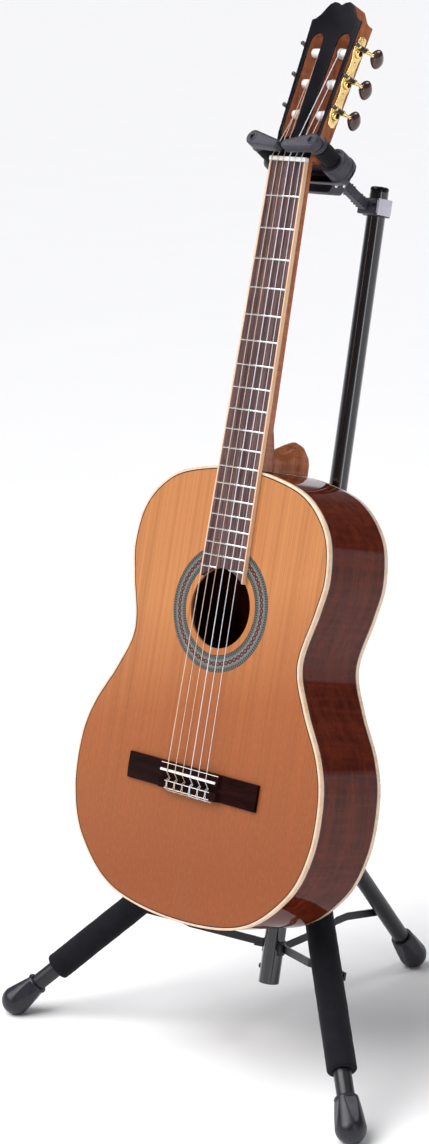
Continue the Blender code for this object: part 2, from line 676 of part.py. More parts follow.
def make_brace(name, azimuth, splay, bolt, foam, shaft):
    """A flat bar from the bracket to the leg, set aside so that it passes the leg."""
    hinge_z = BRACKET_Z if foam else BRACKET_Z - REAR_BRACE_DROP
    brace = frame("brace_frame_" + name, Matrix.Translation((0, 0, hinge_z)) @ spoke_frame(azimuth)
                  @ Matrix.Translation((BRACE_HINGE_R, 0, 0)), shaft)
    run = HINGE_R + bolt * sin(splay) - BRACE_HINGE_R
    rise = HUB_Z - bolt * cos(splay) - hinge_z
    side = brace_side(name)
    line = [(0.0, 0.0), (run, rise)] if foam else [(0.0, 0.0), REAR_BRACE_BEND, (run, rise)]
    outer = (FOAM_R if foam else LEG_R) + 0.0008 + BRACE_THICK / 2
    first, last = BRACE_STEP
    stops = [(-0.0040, BRACE_INNER_OFFSET, 0.35), (-0.0022, BRACE_INNER_OFFSET, 0.90),
             (0.0005, BRACE_INNER_OFFSET, 1.0), (first, BRACE_INNER_OFFSET, 1.0), (last, outer, 1.0)]
    stops += [(x, outer, 1.0) for x, _ in line[1:-1]] + [(run + 0.0050, outer, 1.0)]
    rings = []
    for x, y, share in stops:
        z = along(line, x)
        rings.append([Vector((x, side * y + a * BRACE_THICK / 2, z + b * share * BRACE_HEIGHT / 2))
                      for a, b in ((-1, -1), (1, -1), (1, 1), (-1, 1))])
    place("brace_" + name, loft(rings), brace, "satin_tube")


# ---------------------------------------------------------------- yoke

def make_clamp(shaft):
    """A collar with a forward lug for the shank, and a push button in its side."""
    bore = UPPER_TUBE_R + GAP
    clamp = place("clamp_block", turned_ring((
        (0.0150, CLAMP_Z - 0.0100), (0.0150, CLAMP_Z - 0.0020), (0.0140, CLAMP_Z - 0.0012),
        (0.0140, CLAMP_Z + 0.0085), (bore, CLAMP_Z + 0.0085), (bore, CLAMP_Z - 0.0100)), 24),
        shaft, "yoke_plastic")
    boolean(clamp, bevelled_box((-0.0105, -0.0215, CLAMP_Z - 0.0095), (0.0135, -0.0116, CLAMP_Z + 0.0080),
                                0.0012), shaft, "UNION")
    low, high = CLAMP_Z - 0.0088, CLAMP_Z + 0.0078
    boolean(clamp, box((0.0112, -0.0200, low), (0.0142, 0.0020, high)), shaft, "UNION")
    boolean(clamp, box((0.0122, -0.0190, low + 0.001), (0.0160, 0.0010, high - 0.001)), shaft)
    place("release_button", bevelled_box((0.0145, -0.0187, low + 0.0013), (0.0175, 0.0007, high - 0.0013),
                                         0.0012, 2), shaft, "button_silver")


def ring_in_yoke(z, half_x, low, high, corner, count=3):
    """A rounded rectangle across the yoke's axis."""
    ring = []
    for sx, sy, first in ((1, 1, 0.0), (-1, 1, pi / 2), (-1, -1, pi), (1, -1, 1.5 * pi)):
        centre_x = sx * (half_x - corner)
        centre_y = (high - corner) if sy > 0 else (low + corner)
        for i in range(count + 1):
            angle = first + pi / 2 * i / count
            ring.append(Vector((centre_x + corner * cos(angle), centre_y + corner * sin(angle), z)))
    return ring


def make_yoke_head(yoke):
    """The forked housing, its trigger cover, and the two arms with their gates."""
    body = [ring_in_yoke(0.0115, 0.0090, -0.0080, 0.0022, 0.003),
            ring_in_yoke(0.0220, 0.0200, -0.0095, 0.0020, 0.004),
            ring_in_yoke(0.0440, 0.0420, -0.0100, 0.0012, 0.005),
            ring_in_yoke(0.0500, 0.0495, -0.0230, 0.0006, 0.010),
            ring_in_yoke(0.0550, 0.0545, -0.0315, 0.0000, 0.013),
            ring_in_yoke(0.0618, 0.0550, -0.0325, -0.0005, 0.014)]
    housing = place("yoke_housing", loft(body), yoke, "yoke_plastic")
    for side in (-1, 1):
        socket = turned(((0.0140, 0.0570), (0.0152, 0.0600), (0.0152, 0.0755), (0.0140, 0.0775)), 20)
        boolean(housing, move_by(socket, (side * ARM_X, ARM_Y, 0)), yoke, "UNION")
    boolean(housing, box((-0.0270, -0.0205, 0.0560), (0.0270, 0.0100, 0.0900)), yoke)
    for side in (-1, 1):
        bore = turned(((0.0064, 0.0600), (0.0064, 0.0900)), 16)
        boolean(housing, move_by(bore, (side * ARM_X, ARM_Y, 0)), yoke)
    place("yoke_cover", loft([ring_in_yoke(0.0225, 0.0190, -0.0215, -0.0103, 0.0025),
                              ring_in_yoke(0.0255, 0.0205, -0.0265, -0.0103, 0.0025),
                              ring_in_yoke(0.0390, 0.0205, -0.0338, -0.0104, 0.0025),
                              ring_in_yoke(0.0437, 0.0205, -0.0340, -0.0104, 0.0025)]),
          yoke, "yoke_plastic")
    for side, hand in ((-1, "left"), (1, "right")):
        arm = frame("arm_frame_" + hand, Matrix.Translation((side * ARM_X, ARM_Y, 0)), yoke)
        low, high = ARM_Z
        place("arm_" + hand, turned(((0.0058, 0.0625), (0.0058, low - 0.0012), (ARM_R, low - 0.0012),
                                     (ARM_R, high)), 20), arm, "foam")
        make_gate("gate_" + hand, side, arm)


def make_gate(name, side, arm):
    """A paddle that closes in front of the neck; it points inward at rest."""
    low, high = GATE_Z
    outline = []
    for x, y, radius, first in ((0.0, -0.0015, 0.0086, 0.5 * pi), (-0.0335, -0.0070, 0.0050, 1.5 * pi)):
        for i in range(9):
            angle = first - pi * i / 8
            outline.append((side * (x + radius * cos(angle)), y + radius * sin(angle)))
    place(name, prism(outline, low, high), arm, "yoke_plastic")


def make_shank(yoke, shaft):
    """The bar between the yoke and the clamp."""
    to_yoke = yoke.matrix_world.inverted() @ shaft.matrix_world
    end = to_yoke @ Vector((0, -0.0190, CLAMP_Z - 0.0020))
    start = Vector((0, -0.0028, 0.0111))
    rings = []
    for share, half_x, half_y in ((0.0, 0.0046, 0.0036), (0.10, 0.0060, 0.0052), (0.90, 0.0058, 0.0052),
                                  (1.0, 0.0045, 0.0040)):
        centre = start.lerp(end, share)
        rings.append(ring_in_yoke(centre.z, half_x, centre.y - half_y, centre.y + half_y, 0.0015, 1))
    shank = place("yoke_shank", loft(rings), yoke, "yoke_plastic")
    boolean(shank, box((-0.0200, -0.0215 - GAP, CLAMP_Z - 0.0300), (0.0200, 0.0, CLAMP_Z + 0.0300)), shaft)


# ---------------------------------------------------------------- assembly

def main():
    clear_scene()
    guitar = frame("guitar_frame", Matrix.Translation(GUITAR_ORIGIN)
                   @ Matrix.Rotation(pi / 2 - GUITAR_LEAN, 4, "X"))
    head = frame("head_frame", Matrix.Translation((0, HEAD_ORIGIN_Y, HEAD_FACE_Z))
                 @ Matrix.Rotation(-HEAD_TILT, 4, "X"), guitar)
    shaft = frame("shaft_frame", Matrix.Translation((0, SHAFT_FOOT_Y, 0))
                  @ Matrix.Rotation(-SHAFT_LEAN, 4, "X"))
    yoke = frame("yoke_frame", Matrix.Translation(YOKE_ORIGIN)
                 @ Matrix.Rotation(pi / 2 - YOKE_PITCH, 4, "X"))
    bpy.context.view_layer.update()
    make_body(guitar)
    make_fingerboard(guitar)
    make_neck(guitar, head)
    make_tuners(head)
    make_bridge(guitar)
    make_strings(guitar, head)
    make_shaft(shaft)
    make_hub(shaft)
    for name, azimuth in leg_azimuths():
        rear = name == "rear"
        make_leg(name, azimuth, REAR_SPLAY if rear else FRONT_SPLAY,
                 REAR_BOLT if rear else FRONT_BOLT, not rear, shaft, guitar)
    make_clamp(shaft)
    make_yoke_head(yoke)
    make_shank(yoke, shaft)


main()
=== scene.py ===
"""Looks for the classical guitar hanging in its folding tripod stand."""
import json
from math import atan2, cos, exp, pi, radians, sin, sqrt

import bmesh
import bpy
from mathutils import Matrix, Vector, noise

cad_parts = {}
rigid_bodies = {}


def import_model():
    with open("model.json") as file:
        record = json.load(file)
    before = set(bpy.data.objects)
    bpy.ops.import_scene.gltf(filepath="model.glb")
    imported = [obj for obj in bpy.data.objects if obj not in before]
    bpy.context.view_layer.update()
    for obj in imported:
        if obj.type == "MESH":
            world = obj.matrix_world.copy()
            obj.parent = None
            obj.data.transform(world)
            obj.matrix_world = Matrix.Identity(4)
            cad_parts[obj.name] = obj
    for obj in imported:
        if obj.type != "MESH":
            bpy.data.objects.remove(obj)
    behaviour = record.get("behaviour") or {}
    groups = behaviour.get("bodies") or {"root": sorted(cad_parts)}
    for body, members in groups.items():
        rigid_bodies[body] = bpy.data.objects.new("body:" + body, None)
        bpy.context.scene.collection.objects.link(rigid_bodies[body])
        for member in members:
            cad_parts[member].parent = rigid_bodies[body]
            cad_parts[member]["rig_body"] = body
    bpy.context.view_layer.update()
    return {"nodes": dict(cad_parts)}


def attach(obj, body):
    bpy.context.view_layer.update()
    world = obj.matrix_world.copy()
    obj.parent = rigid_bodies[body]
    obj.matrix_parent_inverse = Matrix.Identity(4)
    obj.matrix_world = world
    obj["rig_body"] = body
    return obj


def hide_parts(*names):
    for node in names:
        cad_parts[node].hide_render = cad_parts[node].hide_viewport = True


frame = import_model()

# ---------------------------------------------------------------- dimensions, as in the CAD
GAP = 0.0003
T = Matrix.Translation
GUITAR = T((0, -0.0698, 0.6462)) @ Matrix.Rotation(radians(75.05), 4, "X")
HEAD = GUITAR @ T((0, 0.330, -0.0005)) @ Matrix.Rotation(radians(-14.1), 4, "X")
SHAFT = T((0, -0.0618, 0)) @ Matrix.Rotation(radians(-13.48), 4, "X")
YOKE = T((0, 0.1077, 0.9252)) @ Matrix.Rotation(radians(52), 4, "X")
SCALE_LENGTH, NUT_Y = 0.650, 0.325
BRIDGE_Y = -0.336
SIDE, PLATE = 0.0022, 0.0027         # thickness of the sides, and of the back
BINDING_WIDTH, BINDING_HEIGHT, ARRIS = 0.0026, 0.0060, 0.0005
DEPTH_HEEL, DEPTH_GAIN, DEPTH_REACH = 0.093, 0.0042, 0.060
BOARD_HALF_BODY, BOARD_TOP_BODY, BOARD_TAPER = 0.0297, 0.0052, 0.0135
SOUNDHOLE_Y, SOUNDHOLE_R = -0.1499, 0.0427
ROSETTE_IN, ROSETTE_OUT = 0.0503, 0.0678
STRING_RADII = (0.00056, 0.00045, 0.00037, 0.00051, 0.00041, 0.00036)
STRING_HALF_BRIDGE = 0.0285
ROLLER_YS = (0.0525, 0.0880, 0.1235)
ROLLER_DEPTH, ROLLER_R = 0.0110, 0.0049
WORM_OFFSET, PLATE_THICK = 0.0070, 0.0016
PLATE_HALF, PLATE_REACH = 0.0078, 0.052   # half the width and half the length of a tuner plate
BOOT_R = 0.0165
HUB_Z, HINGE_R = 0.262, 0.030
FRONT_AZIMUTH, FRONT_SPLAY, REAR_SPLAY = radians(61.6), radians(42.9), radians(49.9)
LEG_R, FOAM_R, FOAM_START, SOLE_HEIGHT = 0.0095, 0.0158, 0.128, 0.0159
ARM_X, ARM_Y = 0.0411, -0.0155
SIDES = (("left", -1), ("right", 1))
ARMS = {hand: YOKE @ T((side * ARM_X, ARM_Y, 0)) for hand, side in SIDES}
BRACKET_Z, BRACE_HINGE_R = 0.1025, 0.018
CLAMP_Z = 0.9240
REAR_BRACE_DROP = 0.0065
FOAM_END_BEFORE_BALL = 0.0635
SLOT_LOW, SLOT_HIGH = (0.0168, 0.0315), (0.0188, 0.133)
HEAD_LOW, HEAD_HIGH = (0.0290, 0.027), (0.0348, 0.157)
FRET_COUNT = 19
FINE_STEPS = 14                      # divisions between two points of the body's outline
OUTLINE = ((0.046, -0.003), (0.097, -0.018), (0.131, -0.052), (0.141, -0.096),
           (0.135, -0.134), (0.122, -0.190), (0.139, -0.234), (0.166, -0.280),
           (0.178, -0.322), (0.176, -0.379), (0.153, -0.430), (0.096, -0.474),
           (0.0, -0.487))


def spoke(azimuth):
    return Matrix.Rotation(azimuth - pi / 2, 4, "Z")


def hinge_frame(azimuth):
    return SHAFT @ T((0, 0, HUB_Z)) @ spoke(azimuth) @ T((HINGE_R, 0, 0))


def leg_frame(azimuth, splay):
    return hinge_frame(azimuth) @ Matrix.Rotation(-splay, 4, "Y")


AZIMUTHS = {"left": -FRONT_AZIMUTH, "right": FRONT_AZIMUTH, "rear": pi}
LEGS = {name: leg_frame(azimuth, REAR_SPLAY if name == "rear" else FRONT_SPLAY)
        for name, azimuth in AZIMUTHS.items()}


def leg_length(name):
    leg = LEGS[name]
    down = leg.to_3x3() @ Vector((0, 0, -1))
    return (SOLE_HEIGHT - leg.translation.z) / down.z


def between(low, high, y):
    """The half width at a height, on a straight line between two corners."""
    return low[0] + (y - low[1]) / (high[1] - low[1]) * (high[0] - low[0])


def slot_centre(y):
    return between(SLOT_LOW, SLOT_HIGH, y)


def head_half(y):
    return between(HEAD_LOW, HEAD_HIGH, y)


def fret_y(number):
    return NUT_Y - SCALE_LENGTH * (1 - 2 ** (-number / 12))


def board_half(y):
    return BOARD_HALF_BODY - (BOARD_TAPER if y > 0 else 0.0125) * y


def board_top(y):
    return BOARD_TOP_BODY - (y / NUT_Y * 0.0020 if y > 0 else y / 0.120 * 0.0006)


def back_z(y):
    return -DEPTH_HEEL - DEPTH_GAIN * (1 - exp(min(y, 0.0) / DEPTH_REACH))


CEDAR = ((0.250, 0.060, 0.0125), (0.335, 0.096, 0.025), (0.50, 0.200, 0.069))


# ---------------------------------------------------------------- materials
def set_stops(ramp, stops):
    """Gives a colour ramp its stops, each a position and a colour."""
    while len(ramp.elements) < len(stops):
        ramp.elements.new(1.0)
    for end, (position, colour) in zip(ramp.elements, stops):
        end.position = position
        end.color = (*colour, 1.0)


class Net:
    """A material and short ways to add nodes to it."""

    def __init__(self, name):
        self.material = bpy.data.materials.new(name)
        self.material.use_nodes = True
        self.tree = self.material.node_tree
        self.shader = self.tree.nodes["Principled BSDF"]

    def put(self, socket, value):
        """Links an output to an input, or sets its constant; a colour is three numbers."""
        if isinstance(value, bpy.types.NodeSocket):
            self.tree.links.new(value, socket)
        else:
            socket.default_value = (*value, 1.0) if socket.type == "RGBA" else value

    def add(self, kind, out, values, **settings):
        node = self.tree.nodes.new("ShaderNode" + kind)
        for key, value in settings.items():
            setattr(node, key, value)
        for key, value in values.items():
            self.put(node.inputs[key], value)
        return node.outputs[out]

    def math(self, operation, a, b=0.0, c=0.0):
        return self.add("Math", 0, {0: a, 1: b, 2: c}, operation=operation)

    def times(self, a, b):
        return self.math("MULTIPLY", a, b)

    def minus(self, a, b):
        return self.math("SUBTRACT", a, b)

    def above(self, a, b):
        return self.math("GREATER_THAN", a, b)

    def below(self, a, b):
        return self.math("LESS_THAN", a, b)

    def size(self, a):
        return self.math("ABSOLUTE", a)

    def mix(self, share, a, b, blend="MIX"):
        return self.add("Mix", 2, {0: share, 6: a, 7: b}, data_type="RGBA", blend_type=blend)

    def stain(self, base, colour, value, low, high, share):
        """Lays a colour over a base, up to a share, where a value rises from low to high."""
        return self.mix(self.ramp(value, low, high, 0, share), base, colour)

    def ramp(self, value, low, high, to_low=0.0, to_high=1.0):
        return self.add("MapRange", 0, {0: value, 1: low, 2: high, 3: to_low, 4: to_high})

    def colours(self, value, stops, constant=False):
        node = self.tree.nodes.new("ShaderNodeValToRGB")
        self.put(node.inputs[0], value)
        if constant:
            node.color_ramp.interpolation = "CONSTANT"
        set_stops(node.color_ramp, stops)
        return node.outputs[0]

    def point(self, matrix=None, scale=None):
        """Object coordinates, turned into a part's own frame and scaled."""
        place = self.add("TexCoord", "Object", {})
        if matrix is not None:
            back = matrix.inverted()
            place = self.add("Mapping", 0, {"Vector": place, "Location": back.translation,
                                            "Rotation": back.to_euler()})
        return self.scaled(place, scale) if scale else place

    def scaled(self, vector, scale):
        return self.add("VectorMath", 0, {0: vector, 1: scale}, operation="MULTIPLY")

    def noise(self, vector, scale=1.0, detail=3.0, rough=0.5, warp=0.0):
        return self.add("TexNoise", 0, {"Vector": vector, "Scale": scale, "Detail": detail,
                                        "Roughness": rough, "Distortion": warp})

    def grain(self, place, scale, *settings):
        """Noise with its own scale along each axis."""
        return self.noise(self.scaled(place, scale), 1, *settings)

    def split(self, vector):
        node = self.tree.nodes.new("ShaderNodeSeparateXYZ")
        self.put(node.inputs[0], vector)
        return node.outputs

    def bump(self, height, distance, strength=1.0, normal=None):
        values = {"Height": height, "Distance": distance, "Strength": strength}
        if normal:
            values["Normal"] = normal
        return self.add("Bump", 0, values)

    def done(self, colour, rough, bump=None, **fixed):
        self.put(self.shader.inputs["Base Color"], colour)
        self.put(self.shader.inputs["Roughness"], rough)
        if bump:
            self.put(self.shader.inputs["Normal"], bump)
        for key, value in fixed.items():
            self.put(self.shader.inputs[key.replace("_", " ")], value)
        return self.material


def cedar():
    """Orange tan softwood with close grain, redder and darker towards the tail."""
    net = Net("cedar_top")
    place = net.point(GUITAR)
    x, y, _ = net.split(place)
    lines = net.grain(place, (900, 2.2, 900), 4, 0.6)
    bands = net.grain(place, (85, 0.4, 85), 4, 0.65)
    silk = net.grain(place, (420, 150, 420), 2, 0.5, 0.3)
    cloud = net.grain(place, (5, 3, 5), 2, 0.5)
    slope = net.math("MULTIPLY_ADD", x, -0.25, y)
    base = net.colours(net.ramp(net.math("MULTIPLY_ADD", cloud, 0.05, slope), -0.42, 0.0),
                       ((0.0, CEDAR[0]), (0.45, CEDAR[1]), (0.75, CEDAR[2]), (1.0, CEDAR[2])))
    base = net.stain(base, (0.235, 0.070, 0.018), bands, 0.44, 0.70, 0.42)
    base = net.stain(base, (0.17, 0.050, 0.012), lines, 0.48, 0.64, 0.34)
    base = net.stain(base, (0.62, 0.34, 0.15), silk, 0.45, 0.70, 0.05)
    seam = net.ramp(net.size(x), 0.0002, 0.0006, 0.35, 0.0)
    base = net.mix(seam, base, (0.30, 0.10, 0.04))
    rough = net.ramp(lines, 0.3, 0.7, 0.34, 0.46)
    return net.done(base, rough, net.bump(lines, 0.00004), Coat_Weight=0.4, Coat_Roughness=0.12, Coat_IOR=1.3,
                    Specular_IOR_Level=0.3)


def mahogany(name, matrix, along, deep, rich, gloss=1.0):
    """Brown hardwood under gloss lacquer; pores and ribbon figure run along one axis."""
    net = Net(name)
    place = net.point(matrix)
    fine = [1000.0] * 3
    fine[along] = 26.0
    wide = [95.0] * 3
    wide[along] = 1.6
    pores = net.grain(place, tuple(fine), 2, 0.6)
    ribbon = net.grain(place, tuple(wide), 4, 0.55, 0.3)
    cross = net.grain(place, tuple(9.0 if v > 10 else 150.0 for v in wide), 4, 0.65, 0.3)
    pale = tuple(v * 1.35 for v in rich)
    base = net.mix(net.ramp(ribbon, 0.34, 0.66), deep, rich)
    base = net.stain(base, pale, cross, 0.44, 0.66, 0.38)
    base = net.stain(base, tuple(v * 0.30 for v in deep), pores, 0.56, 0.66, 0.55)
    rough = net.ramp(pores, 0.4, 0.7, 0.36, 0.5)
    return net.done(base, rough, net.bump(pores, 0.00002, 0.3), Coat_Weight=gloss, Coat_Roughness=0.02,
                    Coat_IOR=1.29, Specular_IOR_Level=0.0)


def rosewood(name, dark, light, binding=False):
    """Oiled dark hardwood with long streaks and open pores; a bound board has cream edges."""
    net = Net(name)
    place = net.point(GUITAR)
    along = 5 if binding else 90
    cross = 330 if binding else 14
    streaks = net.grain(place, (cross, along, 330), 5, 0.65, 0.4)
    pores = net.grain(place, (1500 if binding else 60, 60 if binding else 1500, 1500), 2)
    base = net.colours(streaks, ((0.32, dark), (0.66, light)))
    base = net.stain(base, tuple(v * 0.35 for v in dark), pores, 0.56, 0.66, 0.7)
    rough = net.ramp(streaks, 0.3, 0.7, 0.36, 0.5)
    bump = net.bump(pores, 0.00008, 0.6)
    if binding:
        x, y, _ = net.split(place)
        edge = net.math("MULTIPLY_ADD", y, -BOARD_TAPER, BOARD_HALF_BODY - 0.0016)
        out = net.above(net.size(x), edge)
        grain = net.grain(place, (200, 30, 500), 2)
        cream = net.mix(net.ramp(grain, 0.3, 0.7), (0.72, 0.46, 0.29), (0.80, 0.56, 0.38))
        base = net.mix(out, base, cream)
        rough = net.minus(rough, net.times(out, 0.15))
    return net.done(base, rough, bump, Specular_IOR_Level=0.04)


def rosette():
    """Rings of small squares round a row of crosses, set out in polar coordinates."""
    net = Net("rosette_inlay")
    x, y, _ = net.split(net.point(GUITAR))
    down = net.minus(y, SOUNDHOLE_Y)
    radius = net.math("SQRT", net.math("MULTIPLY_ADD", x, x, net.times(down, down)))
    across = net.ramp(radius, ROSETTE_IN, ROSETTE_OUT)
    turn = net.math("DIVIDE", net.math("ARCTAN2", down, x), 2 * pi)
    grey, pale, dark = (0.118, 0.138, 0.122), (0.27, 0.27, 0.23), (0.006, 0.006, 0.007)
    base = net.colours(across, ((0.0, dark), (0.035, grey), (0.33, pale), (0.355, dark), (0.645, pale),
                                (0.67, grey), (0.965, dark)), constant=True)
    for low, high, count in ((0.06, 0.21, 126), (0.79, 0.94, 152)):
        wave = net.math("FRACT", net.times(turn, count))
        square = net.times(net.below(wave, 0.60),
                           net.times(net.above(across, low), net.below(across, high)))
        base = net.mix(square, base, dark)
    cell = net.size(net.minus(net.math("FRACT", net.times(turn, 62)), 0.5))
    up = net.size(net.math("DIVIDE", net.minus(across, 0.5), 0.145))
    arm = net.size(net.minus(net.times(cell, 2.0), up))
    cross = net.times(net.above(arm, 0.42), net.below(up, 0.96))
    tint = net.mix(net.below(up, 0.5), (0.34, 0.17, 0.16), (0.30, 0.055, 0.060))
    base = net.mix(cross, base, tint)
    grain = net.noise(net.point(GUITAR, (900, 900, 900)), 1, 2)
    base = net.stain(base, (0.03, 0.03, 0.028), grain, 0.35, 0.65, 0.2)
    return net.done(base, net.ramp(grain, 0.3, 0.7, 0.30, 0.40), net.bump(grain, 0.00002, 0.3),
                    Coat_Weight=0.5, Coat_Roughness=0.12)


def mottled(name, low, high, rough, scale=300.0, bump=0.00003, fine=None, **fixed):
    """A surface whose colour, roughness and relief vary a little with a noise."""
    net = Net(name)
    place = net.point()
    cloud = net.noise(place, scale, 4, 0.6)
    grain = net.noise(place, fine or scale * 6, 2, 0.6)
    base = net.mix(net.ramp(cloud, 0.35, 0.65), low, high)
    relief = net.bump(grain, bump, 0.7) if bump else None
    return net.done(base, net.ramp(cloud, 0.3, 0.7, rough[0], rough[1]), relief, **fixed)


def lacquer():
    """Black gloss lacquer with the faintest dust and waviness."""
    net = Net("black_lacquer")
    wave = net.noise(net.point(), 45, 2, 0.4)
    dust = net.noise(net.point(), 2600, 1, 0.5)
    base = net.mix(net.ramp(dust, 0.70, 0.78, 0, 0.5), (0.0055, 0.0050, 0.0075), (0.03, 0.03, 0.04))
    return net.done(base, net.ramp(wave, 0.3, 0.7, 0.07, 0.13), net.bump(wave, 0.0002, 0.25),
                    Coat_Weight=1.0, Coat_Roughness=0.03, Coat_IOR=1.22, Specular_IOR_Level=0.05)


def gold():
    """Polished gilt brass, engraved with scrolls that hold dark wax."""
    net = Net("engraved_gold")
    place = net.point(HEAD)
    warp = net.grain(place, (240, 240, 240), 2, 0.5, 1.5)
    scroll = net.size(net.math("SINE", net.times(warp, 62.0)))
    groove = net.ramp(scroll, 0.0, 0.22, 1.0, 0.0)
    patch = net.ramp(net.grain(place, (90, 90, 90), 1), 0.44, 0.56)
    groove = net.times(groove, patch)
    base = net.mix(groove, (0.94, 0.70, 0.30), (0.10, 0.055, 0.02))
    shine = net.ramp(net.grain(place, (900, 900, 900), 2), 0.3, 0.7, 0.16, 0.28)
    return net.done(base, net.math("MULTIPLY_ADD", groove, 0.35, shine), net.bump(groove, -0.00015, 0.8),
                    Metallic=1.0)


def tuner():
    """Black worm, gilt shaft and dark brown button, told apart along the tuner's own axis."""
    net = Net("tuner_parts")
    place = net.point(HEAD)
    z = net.split(place)[2]
    button = net.below(z, -ROLLER_DEPTH - 0.0186)
    shaft = net.below(z, -ROLLER_DEPTH - 0.0060)
    swirl = net.grain(place, (260, 90, 160), 4, 0.6, 1.2)
    brown = net.mix(net.ramp(swirl, 0.35, 0.7), (0.030, 0.0095, 0.0075), (0.075, 0.024, 0.018))
    base = net.mix(shaft, (0.010, 0.010, 0.011), (0.90, 0.66, 0.28))
    base = net.mix(button, base, brown)
    metal = net.minus(shaft, button)
    thread = net.math("SINE", net.times(z, 2 * pi / 0.0013))
    worm = net.minus(1.0, shaft)
    relief = net.bump(net.times(thread, worm), 0.0004, 0.8)
    rough = net.mix(button, (0.25, 0.25, 0.25), net.mix(swirl, (0.12, 0.12, 0.12), (0.2, 0.2, 0.2)))
    net.put(net.shader.inputs["Metallic"], metal)
    return net.done(base, rough, relief, Coat_Weight=0.6, Coat_Roughness=0.05)


def roller():
    """White roller inside the headstock, gilt gear with a black screw outside it."""
    net = Net("roller_parts")
    place = net.point(HEAD)
    x, y, _ = net.split(place)
    out = net.minus(net.size(x), net.math("MULTIPLY_ADD", y, 0.0446, 0.0293 - 0.027 * 0.0446))
    gear = net.above(out, 0.0002)
    screw = net.above(out, 0.00515)
    cloud = net.noise(place, 300, 2)
    bone = net.mix(cloud, (0.84, 0.80, 0.78), (0.92, 0.89, 0.88))
    base = net.mix(gear, bone, (0.90, 0.64, 0.24))
    base = net.mix(screw, base, (0.02, 0.02, 0.022))
    net.put(net.shader.inputs["Metallic"], gear)
    return net.done(base, net.ramp(cloud, 0.3, 0.7, 0.20, 0.32), net.bump(cloud, 0.0001, 0.2))


def wound():
    """Bronze winding: fine ribs across each string."""
    net = Net("bronze_winding")
    y = net.split(net.point(GUITAR))[1]
    ribs = net.math("SINE", net.times(y, 2 * pi / 0.00045))
    tone = net.noise(net.point(GUITAR, (300, 40, 300)), 1, 2)
    base = net.mix(tone, (0.62, 0.47, 0.36), (0.80, 0.66, 0.54))
    return net.done(base, net.ramp(tone, 0.3, 0.7, 0.28, 0.4), net.bump(ribs, 0.00008, 0.6), Metallic=0.85)


def foam():
    """Closed-cell foam: matt black, with fine cells and a soft rubbed bloom."""
    net = Net("black_foam")
    place = net.point()
    cells = net.add("TexVoronoi", 0, {"Vector": place, "Scale": 1500.0})
    skin = net.noise(place, 60, 4, 0.6)
    base = net.mix(net.ramp(skin, 0.35, 0.7), (0.0040, 0.0040, 0.0058), (0.0095, 0.0093, 0.0130))
    relief = net.bump(skin, 0.0006, 0.3, net.bump(cells, 0.00012, 0.6))
    return net.done(base, net.ramp(skin, 0.3, 0.7, 0.78, 0.95), relief, Sheen_Weight=0.05,
                    Sheen_Roughness=0.5, Specular_IOR_Level=0.15)


def pore_plastic(name, low, high, rough=(0.38, 0.50)):
    """Moulded plastic with a fine spark-eroded grain."""
    return mottled(name, low, high, rough, 120.0, 0.00004, 3200.0, Specular_IOR_Level=0.45)


